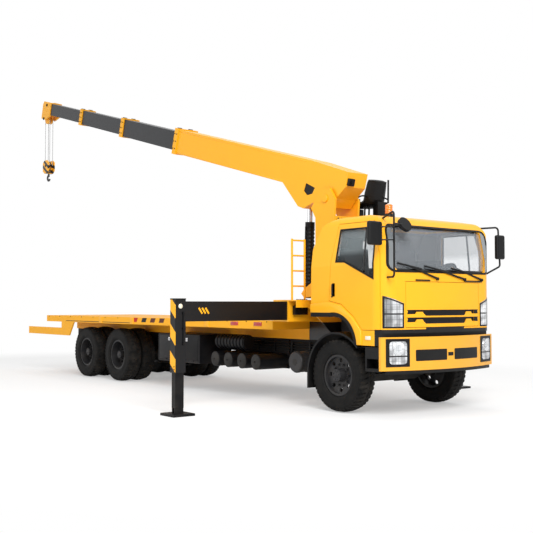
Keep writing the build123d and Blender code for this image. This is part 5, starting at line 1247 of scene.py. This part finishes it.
    def lamps(self) -> None:
        """Dress the headlamps with lined lenses and dark frames."""
        lens = LensFinish(
            "lamp_lens", (0.86, 0.88, 0.90, 1.0), roughness=0.12, metallic=0.3, coat=0.9, grain=90,
            relief=0.0006, rim=(0.850, 1.185, 1.268, 1.690), divider=1.452, shade=1.03,
        )
        self.dress(lens, "head_lamps")
        piece = Piece("head_lamp_frames")
        for side in Side:
            self.lay(piece, side.mirrored(self.lamp_frame), -0.004, 0.012, cuts=6, hole=0.016)
        self.fit(piece, "cab", self.finishes.trim)

    def beacon(self) -> None:
        """Turn the beacon's dark collar and its ribbed amber dome."""
        top = self.collar_height
        piece = Piece("beacon_collar")
        collar = [(0.062, 0.0), (0.062, top - 0.013), (0.054, top), (NEAR_AXIS, top)]
        piece.turned(collar, self.beacon_foot, UP)
        self.fit(piece, "cab", self.finishes.trim, node="beacon")
        piece = Piece("beacon_dome")
        dome = ribs(spaced(top, 0.026, 5), (0.0, 0.006, 0.018, 0.024), 0.052, 0.056)
        piece.turned([*dome, (0.040, 0.256), (0.020, 0.262), (NEAR_AXIS, 0.263)], self.beacon_foot, UP)
        self.fit(piece, "cab", self.finishes.amber, node="beacon")

    def build(self) -> None:
        """Dress the cab's nodes and make its fittings."""
        paint = CabPaint(
            "cab_paint", YELLOW, roughness=0.38, coat=0.12, shine=0.25, grain=30, mottle=0.05, relief=0.00012
        )
        self.dress(paint, "cab_shell", "front_lid", "door_right", "door_left")
        self.dress(self.finishes.trim, "dashboard", "mirrors")
        self.dress(self.finishes.cloth, "cab_seats")
        self.glass()
        self.seals()
        self.side_panes()
        self.wipers()
        self.handles()
        self.arches()
        self.grille()
        self.lamps()
        self.beacon()


@dataclass
class Underbody(FrontAssembly):
    """The bumper with its lamps, mudguards, steps, tanks, boxes and silencer."""

    bumper_front: float = FRONT_AXLE_X + 1.180
    bumper_radius: float = 3.616
    slot: tuple[float, float, float, float] = (0.090, 0.600, 0.850, 0.940)
    insert: Outline = tuple(rectangle(0.082, 0.675, 0.788, 0.948))
    fog: Outline = tuple(rectangle(0.830, 1.100, 0.752, 1.068))
    bowl_radius: float = 0.088
    bowl_y: float = 0.965
    bowl_z: float = 0.968
    strap_x: Pair = (FRONT_AXLE_X - 2.55, FRONT_AXLE_X - 3.55)
    filler_x: float = FRONT_AXLE_X - 2.40
    tool_box: Pair = (FRONT_AXLE_X - 5.05, FRONT_AXLE_X - 3.64)
    silencer_z: float = 0.665
    tank_x: float = FRONT_AXLE_X - 2.08
    tank_spacing: float = 0.39
    tank_z: float = 0.625

    def front_x(self, y: float, z: float) -> float:
        """Give the X of the bumper's bowed front, which is the same at every height."""
        return self.bumper_front - (self.bumper_radius - (self.bumper_radius**2 - y * y) ** 0.5)

    def bumper(self) -> None:
        """Back the bumper's slots with mesh bars, lay its dark inserts and fit its lamps."""
        # The bumper takes the darker yellow that is painted shade.
        self.dress(self.finishes.bumper_yellow, "front_bumper")
        self.dress(self.finishes.trim, "bumper_lamps")
        bars = Piece("bumper_slot_bars")
        panes = Piece("bumper_lamp_panes")
        bowls = Piece("bumper_lamp_bowls")
        lenses = Piece("bumper_lamp_lenses")
        self.lay(bars, rectangle(-0.056, 0.056, 0.846, 0.898), -0.004, 0.006, cuts=2)
        self.lay(bars, rectangle(-1.13, 1.13, 0.612, 0.664), -0.036, 0.026, cuts=14)
        y_low, y_high, z_low, z_high = self.slot
        step = (z_high - z_low) / 3.4
        for side in Side:
            self.lay(bars, side.mirrored(rectangle(*self.slot)), -0.050, 0.008, cuts=8)
            self.lay(bars, side.mirrored(self.insert), -0.004, 0.006, cuts=10, corner=0.016)
            for z in spaced(z_low + 0.7 * step, step, 3):
                start = self.front_point(side.value * y_low, z, -0.034)
                bars.bar(start, self.front_point(side.value * y_high, z, -0.034), 0.008, sides=8)
            self.lay(panes, side.mirrored(self.fog), 0.002, 0.008, cuts=4, corner=0.045)
            centre = self.front_point(side.value * self.bowl_y, self.bowl_z, 0.016)
            outward = (FORWARD + side.outward * 0.28).normalized()
            radius = self.bowl_radius
            bowl = [(NEAR_AXIS, -0.014), (radius * 0.5, -0.010), (radius, 0.004), (radius * 1.08, 0.004),
                    (radius * 1.10, -0.012)]
            bowls.turned(bowl, centre, outward, steps=28)
            lens = [(NEAR_AXIS, 0.010), (radius * 0.6, 0.008), (radius * 0.96, 0.003)]
            lenses.turned(lens, centre, outward, steps=24)
        # The fog lens carries the same painted reflection and painted shade as the headlamps.
        fog_lens = LensFinish(
            "fog_lens", (0.74, 0.76, 0.78, 1.0), "lamp", roughness=0.16, metallic=0.4, coat=0.8, grain=90,
            relief=0.0005, divider=0.862,
        )
        self.fit(bars, "chassis", self.finishes.trim)
        self.fit(panes, "chassis", fog_lens)
        self.fit(bowls, "chassis", self.finishes.mirror, SOFT_ANGLE)
        self.fit(lenses, "chassis", GlassFinish("lens_glass", (0.75, 0.78, 0.80, 1.0), 0.25, slot="lamp"))

    def straps(self) -> None:
        """Strap the fuel tank, and give the tool box its latches and its door."""
        piece = Piece("tank_straps")
        for x in self.strap_x:
            for y, low, high, bevel in ((0.420, 0.498, 0.512, 0.003), (1.128, 0.520, 1.025, 0.004),
                                        (0.420, 1.033, 1.047, 0.003)):
                piece.block((x - 0.030, y, low), (x + 0.030, 1.142, high), bevel)
        piece.bar((self.filler_x, 1.030, 1.030), (self.filler_x, 1.090, 1.085), 0.055, sides=20)
        low, high = self.tool_box
        for x in (low + 0.40, low + 1.00):
            piece.block((x - 0.030, -1.146, 0.900), (x + 0.030, -1.128, 0.965), 0.005)
            piece.stud((x, -1.150, 0.930), FORWARD, (-0.018, 0.018), 0.008, sides=8)
        self.fit(piece, "chassis", self.finishes.steel)
        piece = Piece("tool_box_door")
        piece.block((low + 0.05, -1.138, 0.550), (high - 0.05, -1.126, 1.000), 0.006)
        for x in (low + 0.25, high - 0.25):
            piece.stud((x, -1.140, 0.555), FORWARD, (-0.06, 0.06), 0.012, sides=10)
        self.fit(piece, "chassis", self.finishes.dark)

    def drums(self) -> None:
        """Band the silencer, and close the ends of the silencer and the air tanks."""
        piece = Piece("silencer_bands")
        outward = Side.RIGHT.outward
        band = [*rectangle(0.164, 0.172, -0.018, 0.018), (0.164, -0.018)]
        for y in (-0.90, -0.70, -0.50):
            piece.turned(band, (COLUMN_X, y, self.silencer_z), outward, steps=36)
        end = [(NEAR_AXIS, 0.004), (0.050, 0.004), (0.055, -0.004)]
        piece.turned(end, (COLUMN_X, -0.95, self.silencer_z), outward, steps=24)
        dish = [(NEAR_AXIS, 0.030), (0.060, 0.026), (0.105, 0.014), (0.130, -0.006)]
        for x in spaced(self.tank_x, -self.tank_spacing, 4):
            piece.turned(dish, (x, -1.058, self.tank_z), outward, steps=28)
            piece.bar((x, -1.060, self.tank_z), (x, -1.105, self.tank_z), 0.016, sides=10)
        self.fit(piece, "chassis", self.finishes.cast)

    def pipes(self) -> None:
        """Run air and fuel pipes along the right rail."""
        piece = Piece("rail_pipes")
        for y, z in zip(spaced(-0.437, -0.004, 4), spaced(0.800, 0.045, 4)):
            piece.bar((FRONT_AXLE_X - 6.2, y, z), (FRONT_AXLE_X - 0.75, y, z), 0.011, sides=8)
        for x in spaced(FRONT_AXLE_X - 6.0, 0.46, 12):
            piece.block((x - 0.015, -0.462, 0.780), (x + 0.015, -0.424, 0.955), 0.003)
        self.fit(piece, "chassis", self.finishes.trim)

    def build(self) -> None:
        """Dress what hangs on the chassis and make its fittings."""
        self.bumper()
        self.straps()
        self.drums()
        self.pipes()
        self.dress(self.finishes.trim, "mudguards", "cab_steps")
        self.dress(self.finishes.dark, "tool_box", "air_tanks")
        self.dress(self.finishes.grey, "fuel_tank", "silencer")


@dataclass(frozen=True)
class DeckPaint(Finish):
    """The deck's yellow paint, with a worn top and slanted marks on its edges."""

    top: float = 1.32
    seam: Pair = (1.200, 1.214)
    seam_run: Pair = (-8.95, -6.05)
    mark_rows: Pair = (1.228, 1.312)
    mark_half: float = 0.085
    marks: tuple[tuple[float, Colour], ...] = ((-5.83, RED), (-5.485, BLACK), (-5.155, RUST), (-4.825, RUST))

    def tone(self, shader: Shader) -> Sock:
        """Give yellow paint with four slanted marks and a dark seam on each edge, and wear on top.

        Args:
            shader: The material being built.

        Returns:
            The colour.
        """
        along = shader.axis(Axis.X) - FRONT_AXLE_X
        height = shader.axis(Axis.Z)
        edge = shader.axis(Axis.Y).math("ABSOLUTE") > DECK_HALF_WIDTH - 0.002
        worn = shader.noise(8.0, 5.0).ease(0.45, 0.72) * (height > self.top - 0.002)
        tone = shader.mix(worn * 0.15, super().tone(shader), WORN_YELLOW)
        tone = shader.mix(edge * along.inside(*self.seam_run) * height.inside(*self.seam), tone, BLACK)
        lean = along - (height - 1.27) * 0.6
        field = edge * height.inside(*self.mark_rows)
        for place, colour in self.marks:
            mark = lean.inside(place - self.mark_half, place + self.mark_half)
            tone = shader.mix(field * mark, tone, colour)
        return tone


@dataclass
class Deck(Assembly):
    """The load deck with its bolts, reflectors, straps and marks."""

    rear_x: float = FRONT_AXLE_X - 9.97
    front_x: float = FRONT_AXLE_X - 1.45
    bolt_count: int = 16
    bolt_margin: float = 0.15
    bolt_z: float = 1.300
    reflector_x: tuple[float, ...] = (FRONT_AXLE_X - 2.484, FRONT_AXLE_X - 1.838)
    strap_x: tuple[float, ...] = (FRONT_AXLE_X - 7.28, FRONT_AXLE_X - 5.95, FRONT_AXLE_X - 3.30)

    def build(self) -> None:
        """Dress the deck and set its bolts, reflectors and edge straps."""
        paint = DeckPaint(
            "deck_paint", YELLOW, roughness=0.50, coat=0.04, shine=0.25, mottle=0.10, relief=0.0003, dust=0.2
        )
        self.dress(paint, "deck")
        bolts = Piece("deck_bolts")
        lenses = Piece("deck_reflectors")
        straps = Piece("deck_straps")
        step = (self.front_x - self.rear_x - 2 * self.bolt_margin) / (self.bolt_count - 1)
        for side in Side:
            y = side.value * DECK_HALF_WIDTH
            for x in spaced(self.rear_x + self.bolt_margin, step, self.bolt_count):
                bolts.stud((x, y, self.bolt_z), side.outward, (-0.002, 0.006), 0.010)
            low, high = sorted((y - side.value * 0.004, y + side.value * 0.010))
            for x in self.reflector_x:
                lenses.block((x - 0.105, low, 1.230), (x + 0.105, high, 1.292), 0.005)
            for x in self.strap_x:
                straps.block((x - 0.070, low, 1.182), (x + 0.070, high, 1.317), 0.003)
        self.fit(bolts, "chassis", self.finishes.dark)
        self.fit(lenses, "chassis", self.finishes.red)
        self.fit(straps, "chassis", self.finishes.yellow)


@dataclass
class Outriggers(Assembly):
    """The outriggers' beams, legs and feet, with their hatching, lamps and pipes."""

    beam_x: Pair = (FRONT_AXLE_X - 1.15, FRONT_AXLE_X - 1.34)
    leg_y: float = 3.18
    pipe_y: float = 3.13
    bolt_y: float = 3.27
    hatch_start: float = 1.255
    stripe_y: float = 2.835
    stripe_spacing: float = 0.058

    def build(self) -> None:
        """Dress both outriggers and make their fittings."""
        for side, x in zip(Side, self.beam_x):
            word = side.word
            body = f"outrigger_{word}"
            hatch = HatchFinish(
                f"leg_hatch_{word}", CHARCOAL, roughness=0.38, coat=0.05, mottle=0.2, shine=0.25,
                slant=radians(42) * -side.value, start=(x, 0.0, self.hatch_start),
            )
            self.dress(hatch, f"outrigger_beam_{word}")
            self.dress(self.finishes.dark, f"outrigger_jack_{word}")
            leg = side.value * self.leg_y
            piece = Piece(f"leg_lamp_{word}")
            lamp = [(NEAR_AXIS, 0.018), (0.022, 0.016), (0.034, 0.006), (0.036, -0.004)]
            piece.turned(lamp, (x + 0.065, leg, 1.56), FORWARD, steps=24)
            self.fit(piece, body, self.finishes.cream)
            piece = Piece(f"beam_plate_{word}")
            turn = Matrix.Rotation(radians(35) * -side.value, 4, "X")
            for reach in spaced(self.stripe_y, -self.stripe_spacing, 3):
                y = side.value * reach
                piece.block((x + 0.062, y - 0.014, 1.440), (x + 0.068, y + 0.014, 1.545), 0.002, turn)
            self.fit(piece, body, self.finishes.yellow)
            piece = Piece(f"leg_fittings_{word}")
            piece.block((x - 0.068, leg - 0.095, 1.655), (x + 0.068, leg + 0.095, 1.672), 0.004)
            for z in (0.66, 0.70):
                for shift in (-0.045, 0.045):
                    foot = (x + shift, side.value * self.bolt_y, z)
                    piece.stud(foot, side.outward, (-0.002, 0.006), 0.010)
            y = side.value * self.pipe_y
            piece.bar((x + 0.078, y, 1.00), (x + 0.078, y, 1.48), 0.010, sides=10)
            for z in (1.02, 1.24, 1.46):
                piece.block((x + 0.060, y - 0.020, z - 0.010), (x + 0.092, y + 0.020, z + 0.010), 0.003)
            self.fit(piece, body, self.finishes.trim)


@dataclass(frozen=True)
class BlockFinish(Finish):
    """The hook block's paint: slanted black and yellow above, and plain dark steel for the hook."""

    change: float = 0.0

    def tone(self, shader: Shader) -> Sock:
        """Give slanted stripes above a height and dark steel below it.

        Args:
            shader: The material being built.

        Returns:
            The colour.
        """
        stripes = shader.slanted((0.0, 0.0, 0.0), radians(35), 0.15)
        painted = shader.mix(stripes, BLACK, YELLOW)
        return shader.mix(shader.axis(Axis.Z) > self.change, super().tone(shader), painted)


@dataclass(frozen=True)
class BasePaint(Finish):
    """Yellow paint that gives way to black frame paint below a height."""

    change: float = 1.30

    def tone(self, shader: Shader) -> Sock:
        """Give yellow above the height and black below it."""
        return shader.mix(shader.axis(Axis.Z) < self.change, super().tone(shader), CHARCOAL)


@dataclass
class Crane(Assembly):
    """The crane's base, column, boom, lift cylinder, rope, hook block, seat and ladder."""

    base_end: float = 5.03
    section_ends: tuple[float, ...] = (7.48, 9.69, 11.62)
    section_grey: Colour = (0.020, 0.021, 0.024, 1.0)
    collars: tuple[float, ...] = (0.131, 0.131, 0.092)
    pad_sizes: Outline = ((0.54, 0.245), (0.44, 0.205), (0.395, 0.1825))
    axis_v: float = 0.31
    base_half_width: float = 0.22
    strip_starts: Outline = ((1.30, -0.225), (0.70, 0.215))
    opening: Outline = ((0.630, 0.160), (0.380, 0.120), (0.420, 0.010), (0.545, -0.040), (0.655, 0.020))
    head_pins: Outline = ((11.86, 0.03), (11.76, 0.40))
    cylinder_foot: Point = (FRONT_AXLE_X - 1.95, 0.0, 1.765)
    cylinder_eye: Point = (COLUMN_X - 0.70122, 0.0, 3.32974)
    column_face: float = COLUMN_X + 0.21
    slew_circle: float = 0.325
    lever_x: float = FRONT_AXLE_X - 1.04
    plate_top: float = 3.02
    seat_line: tuple[Point, ...] = (
        (-0.150, 0.262, 0.0), (-0.125, 0.290, 0.0), (-0.020, 0.280, 0.0), (0.090, 0.268, 0.0),
        (0.165, 0.276, 0.2), (0.222, 0.312, 0.5), (0.255, 0.375, 0.8), (0.280, 0.455, 1.0),
        (0.305, 0.545, 1.0), (0.325, 0.625, 1.0), (0.338, 0.668, 1.0), (0.352, 0.684, 1.0),
    )
    seat_middle: float = 0.615
    seat_half: float = 0.220
    seat_depth: float = 0.042
    seat_blocks: tuple[tuple[Point, Point, float], ...] = (
        ((-0.190, 0.285, -0.03), (0.330, 0.860, 0.0), 0.004),
        ((-0.150, 0.285, -0.33), (0.210, 0.315, -0.03), 0.004),
        ((-0.190, 0.345, 0.0), (-0.110, 0.710, 0.20), 0.012),
        ((0.200, 0.610, 0.0), (0.330, 0.850, 0.30), 0.016),
    )

    def boom_point(self, u: float, v: float, y: float = 0.0) -> Vector:
        """Give a point by its distances along the boom, square to it and to the left."""
        x = COLUMN_X - u * cos(BOOM_TILT) + v * sin(BOOM_TILT)
        return Vector((x, y, PIVOT_Z + u * sin(BOOM_TILT) + v * cos(BOOM_TILT)))

    def boom_block(self, piece: Piece, low: Point, high: Point, bevel: float = 0.004) -> None:
        """Add a box given in boom coordinates: along it, to the left and square to it.

        Args:
            piece: The mesh that takes the box.
            low: Its lowest corner.
            high: Its highest corner.
            bevel: The width of its eased edges.
        """
        u, y, v = ((low[place] + high[place]) / 2 for place in range(3))
        size = Vector(high) - Vector(low)
        middle = self.boom_point(u, v, y)
        piece.block(middle - size / 2, middle + size / 2, bevel, Matrix.Rotation(BOOM_TILT, 4, "Y"))

    def pads(self, body: str, end: float, height: float, half: float) -> None:
        """Bolt the wear pads on the collar at the end of one section.

        Args:
            body: The section's body.
            end: Where the section ends along the boom.
            height: The collar's height.
            half: Half of the collar's width.
        """
        piece = Piece(f"{body}_pad_bolts")
        for u in (end - 0.10, end - 0.03):
            for v in (-0.28, 0.0, 0.28):
                for side in Side:
                    foot = self.boom_point(u, self.axis_v + v * height, side.value * half)
                    piece.stud(foot, side.outward, (-0.002, 0.008), 0.013)
        top = self.axis_v + height / 2
        for side in Side:
            y = side.value * half * 0.55
            self.boom_block(piece, (end - 0.02, y - 0.05, top - 0.004), (end + 0.012, y + 0.05, top + 0.014))
        self.fit(piece, body, self.finishes.dark)

    def boom(self) -> None:
        """Dress the boom's sections and set its pads, plates and pins."""
        self.dress(self.finishes.yellow, "boom_base")
        for number, (end, collar) in enumerate(zip(self.section_ends, self.collars), start=1):
            paint = BoomFinish(
                f"boom_paint_{number}", self.section_grey, roughness=0.36, coat=0.03, shine=0.3, grain=30,
                mottle=0.2, relief=0.0002, change=end - collar,
            )
            self.dress(paint, f"boom_section_{number}")
        ends = (self.base_end, *self.section_ends)
        for body, end, size in zip(("boom", "section_1", "section_2"), ends, self.pad_sizes):
            self.pads(body, end, *size)
        plates = Piece("boom_plates")
        box = Piece("boom_tail_box")
        self.boom_block(box, (-0.410, -0.205, 0.285), (-0.352, -0.075, 0.405), 0.010)
        foot = self.boom_point(-0.410, 0.345, -0.140)
        box.bar(foot, foot + Vector((0.020, 0.0, -0.005)), 0.034, sides=18)
        for side in Side:
            y = side.value * self.base_half_width
            low, high = sorted((y - side.value * 0.004, y + side.value * 0.003))
            for start, rise in self.strip_starts:
                v = self.axis_v + rise
                strip_end = self.base_end - 0.14
                self.boom_block(plates, (start, low, v - 0.010), (strip_end, high, v + 0.010), 0.001)
            pin = self.boom_point(0.0, 0.0, side.value * 0.288)
            plates.boss(pin, side.outward, 0.066, 0.022, 0.006, 0.002, steps=28)
            cover = [self.boom_point(u, v, y - side.value * 0.016) for u, v in self.opening]
            box.sheet(cover, lambda p: p, side.outward * 0.006)
        self.fit(plates, "boom", self.finishes.yellow)
        self.fit(box, "boom", self.finishes.trim)

    def cylinder(self) -> None:
        """Dress the lift cylinder and fit its ribbed sleeve and its pipe."""
        self.dress(self.finishes.dark, "lift_barrel")
        self.dress(self.finishes.steel, "lift_rod")
        start = Vector(self.cylinder_foot)
        run = (Vector(self.cylinder_eye) - start).normalized()
        piece = Piece("lift_sleeve")
        sleeve = ribs(spaced(0.16, 0.066, 15), (0.0, 0.016, 0.034, 0.050), 0.0755, 0.085)
        piece.turned([*sleeve, (0.0735, 1.14), (0.0735, 0.15), sleeve[0]], start, run, steps=28)
        right = Side.RIGHT.outward
        piece.stud(start + right * 0.098, run, (0.22, 1.16), 0.012, sides=10)
        for height in (0.24, 1.12):
            piece.stud(start + run * height, right, (0.098, 0.06), 0.016, sides=10)
        self.fit(piece, "lift_barrel", self.finishes.trim)

    def hook(self) -> None:
        """Dress the rope and the hook block, and fit the hook's latch and the head's pins."""
        low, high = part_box("hook_block")
        middle = (low[0] + high[0]) / 2
        paint = BlockFinish(
            "block_paint", (0.03, 0.03, 0.032, 1.0), roughness=0.35, metallic=0.2, grain=60,
            change=low[2] + 0.215,
        )
        self.dress(paint, "hook_block")
        self.dress(self.finishes.wire, "hoist_rope")
        fittings = Piece("hook_fittings")
        pins = Piece("head_pins")
        for side in Side:
            centre = (middle, side.value * 0.098, high[2] - 0.15)
            fittings.boss(centre, side.outward, 0.030, 0.012, 0.004, 0.004)
        foot = low[2]
        fittings.block((middle + 0.030, -0.010, foot + 0.120), (middle + 0.040, 0.010, foot + 0.185), 0.002)
        for u, v in self.head_pins:
            for side in Side:
                centre = self.boom_point(u, v, side.value * 0.157)
                pins.boss(centre, side.outward, 0.038, 0.014, 0.004, 0.006)
        self.fit(fittings, "hook", self.finishes.dark)
        self.fit(pins, "section_3", self.finishes.dark)

    def column(self) -> None:
        """Dress the column, base and ladder, and fit pipes, bolts and levers."""
        self.dress(self.finishes.yellow, "crane_column", "ladder")
        paint = BasePaint("base_paint", YELLOW, roughness=0.34, coat=0.3, grain=30, mottle=0.06)
        self.dress(paint, "crane_base")
        piece = Piece("column_pipes")
        face = self.column_face
        for y in spaced(-0.20, 0.075, 5):
            piece.bar((face + 0.014, y, 1.78), (face + 0.014, y, 3.00), 0.013, sides=10)
        for z in (1.90, 2.30, 2.70, 2.96):
            piece.block((face - 0.004, -0.24, z - 0.015), (face + 0.034, 0.14, z + 0.015), 0.003)
        self.fit(piece, "column", self.finishes.trim)
        piece = Piece("slew_bolts")
        for foot in ring(Vector((COLUMN_X, 0.0, 1.700)), self.slew_circle, 24, Axis.Y):
            piece.stud(foot, UP, (0.0, 0.016), 0.014)
        self.fit(piece, "column", self.finishes.dark)
        piece = Piece("base_levers")
        x = self.lever_x
        piece.block((x - 0.010, -1.12, 1.42), (x + 0.060, -0.86, 1.56), 0.006)
        for y in spaced(-1.09, 0.04, 6):
            piece.bar((x + 0.030, y, 1.55), (x + 0.060, y, 1.645), 0.006, sides=8)
            piece.bar((x + 0.058, y, 1.640), (x + 0.064, y, 1.665), 0.012, sides=10)
        self.fit(piece, "chassis", self.finishes.trim)

    def on_plate(self, x: float, y: float, z: float) -> Point:
        """Give a point by its place over the seat's floor plate."""
        return (COLUMN_X + x, y, self.plate_top + z)

    def seat_point(self, across: float, up: float) -> Point:
        """Give a point of the bucket seat's surface.

        Args:
            across: The share of the way across the seat.
            up: The share of the way along its line, from the front edge to the top of the back.

        Returns:
            The point.
        """
        place = round(up * (len(self.seat_line) - 1))
        along, rise, upright = self.seat_line[place]
        half = self.seat_half * (1.0 - 0.16 * max(0.0, place - 7) / 4)
        share = across * 2.0 - 1.0
        bolster = 0.055 * abs(share) ** 3
        height = rise - 0.03 + bolster * (1.0 - upright)
        return self.on_plate(along - bolster * upright, self.seat_middle + share * half, height)

    def seat(self) -> None:
        """Shape the operator's bucket seat with its frame, levers, hoses and box."""
        piece = Piece("bucket_seat")
        piece.surface(12, len(self.seat_line) - 1, self.seat_point, -self.seat_depth)
        self.fit(piece, "column", self.finishes.trim, SOFT_ANGLE, "operator_seat")
        piece = Piece("seat_frame")
        at = self.on_plate
        for low, high, bevel in self.seat_blocks:
            piece.block(at(*low), at(*high), bevel)
        for y in (0.470, 0.760):
            for x in (-0.040, 0.150):
                piece.bar(at(x, y, 0.0), at(x + 0.010, y, 0.235), 0.016, sides=12)
            piece.bar(at(-0.130, y, 0.225), at(0.190, y, 0.215), 0.016, sides=12)
        for y in (0.395, 0.838):
            piece.hose(at(0.345, y, 0.34), at(0.100, y, 0.470), at(-0.060, y, 0.260), 0.013)
        piece.bar(at(0.345, 0.838, 0.28), at(0.352, 0.838, 0.675), 0.016, sides=12)
        for y in spaced(0.375, 0.070, 5):
            piece.bar(at(-0.150, y, 0.19), at(-0.160, y, 0.35), 0.007, sides=8)
            piece.bar(at(-0.160, y, 0.34), at(-0.162, y, 0.385), 0.015, sides=12)
        for y, end in zip(spaced(0.365, 0.050, 3), spaced(0.150, 0.03, 3)):
            piece.hose(at(-0.115, y, 0.12), at(0.040, y - 0.020, 0.26), at(end, 0.305, 0.01), 0.012)
        self.fit(piece, "column", self.finishes.trim, node="operator_seat")

    def build(self) -> None:
        """Dress the crane from its base to its hook."""
        self.column()
        self.seat()
        self.boom()
        self.cylinder()
        self.hook()


@dataclass(frozen=True)
class Lamp:
    """One large soft lamp, with its place, its target, the length of its sides and its power in watts."""

    name: str
    place: Point
    target: Point
    size: float
    power: float

    def hang(self) -> None:
        """Hang the lamp in the scene."""
        light = bpy.data.lights.new(self.name, "AREA")
        light.size = self.size
        light.energy = self.power
        lamp = bpy.data.objects.new(self.name, light)
        lamp.location = self.place
        lamp.rotation_euler = (Vector(self.target) - Vector(self.place)).to_track_quat("-Z", "Y").to_euler()
        bpy.context.scene.collection.objects.link(lamp)


@dataclass
class Studio:
    """The pale floor, the soft lamps and the camera at the photograph's place."""

    floor_half: float = 120.0
    clear_radius: float = 13.0
    floor_glow: float = 0.35
    sky_light: float = 0.50
    lamps: tuple[Lamp, ...] = (
        Lamp("key", (20.0, -9.0, 13.0), (4.0, 0.0, 1.5), 10.0, 4300.0),
        Lamp("side", (-6.0, -20.0, 9.0), (-1.0, 0.0, 2.0), 10.0, 900.0),
        Lamp("top", (0.0, 4.0, 20.0), (0.0, 0.0, 0.0), 14.0, 1100.0),
    )
    eye: Point = (FRONT_AXLE_X + 9.563, -10.017, 1.604)
    heading: float = radians(141.72)
    pitch: float = radians(2.38)
    lens: float = 59.44
    sensor: float = 36.0
    view_limit: float = 400.0

    def floor(self) -> None:
        """Lay the floor, which fades to white away from the truck."""
        shader = Shader("pale_floor")
        tone = shader.mix(shader.noise(0.6, 2.0), (0.90, 0.90, 0.90, 1.0), (0.92, 0.92, 0.92, 1.0))
        shader.feed(shader.surface, {"Base Color": tone, "Roughness": 0.9, "Specular IOR Level": 0.1})
        across = shader.axis(Axis.Y) * 1.3
        along = shader.axis(Axis.X)
        far = (along * along + across * across).math("SQRT").ease(self.clear_radius * 0.5, self.clear_radius)
        seen = shader.node("ShaderNodeLightPath", output="Is Camera Ray")
        fade = far.math("MAXIMUM", self.floor_glow) * seen
        white = shader.node("ShaderNodeEmission", {"Color": WHITE})
        lit = Sock(shader, shader.surface.outputs[0])
        faded = shader.node("ShaderNodeMixShader", {0: fade, 1: lit, 2: white})
        shader.feed(shader.tree.nodes["Material Output"], {"Surface": faded})
        mesh = bpy.data.meshes.new("floor")
        shape = bmesh.new()
        bmesh.ops.create_grid(shape, x_segments=1, y_segments=1, size=self.floor_half)
        shape.to_mesh(mesh)
        shape.free()
        mesh.materials.append(shader.material)
        floor = bpy.data.objects.new("floor", mesh)
        bpy.context.scene.collection.objects.link(floor)

    def sky(self) -> None:
        """Light the scene evenly, and show white to the camera and in reflections."""
        world = bpy.data.worlds.new("studio")
        world.use_nodes = True
        bpy.context.scene.world = world
        tree = Tree(world.node_tree)
        kinds = ("Is Camera Ray", "Is Transmission Ray", "Is Glossy Ray")
        camera, through, glossy = (tree.node("ShaderNodeLightPath", output=kind) for kind in kinds)
        seen = camera.math("MAXIMUM", through).math("MAXIMUM", glossy)
        strength = seen * (1.0 - self.sky_light) + self.sky_light
        tree.feed(world.node_tree.nodes["Background"], {"Color": WHITE, "Strength": strength})

    def camera(self) -> None:
        """Set the camera where the photograph was taken from."""
        data = bpy.data.cameras.new("camera")
        data.lens = self.lens
        data.sensor_width = self.sensor
        data.clip_end = self.view_limit
        camera = bpy.data.objects.new("camera", data)
        level = cos(self.pitch)
        look = Vector((level * cos(self.heading), level * sin(self.heading), sin(self.pitch)))
        camera.location = self.eye
        camera.rotation_euler = look.to_track_quat("-Z", "Y").to_euler()
        bpy.context.scene.collection.objects.link(camera)
        bpy.context.scene.camera = camera

    def build(self) -> None:
        """Make the floor, the light and the camera."""
        self.floor()
        self.sky()
        for lamp in self.lamps:
            lamp.hang()
        self.camera()
        bpy.context.scene.view_settings.view_transform = "Standard"


def main() -> None:
    """Build the studio and dress every assembly of the truck, in order."""
    logging.basicConfig(level=logging.INFO, format="%(name)s: %(message)s")
    for item in list(bpy.data.objects):
        bpy.data.objects.remove(item)
    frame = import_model()
    finishes = Finishes()
    Studio().build()
    for group in (RunningGear, Underbody, Deck, Outriggers, Crane, Cab):
        group(frame["nodes"], finishes).build()
        LOG.info("%s built", group.__name__)


if __name__ == "__main__":
    main()
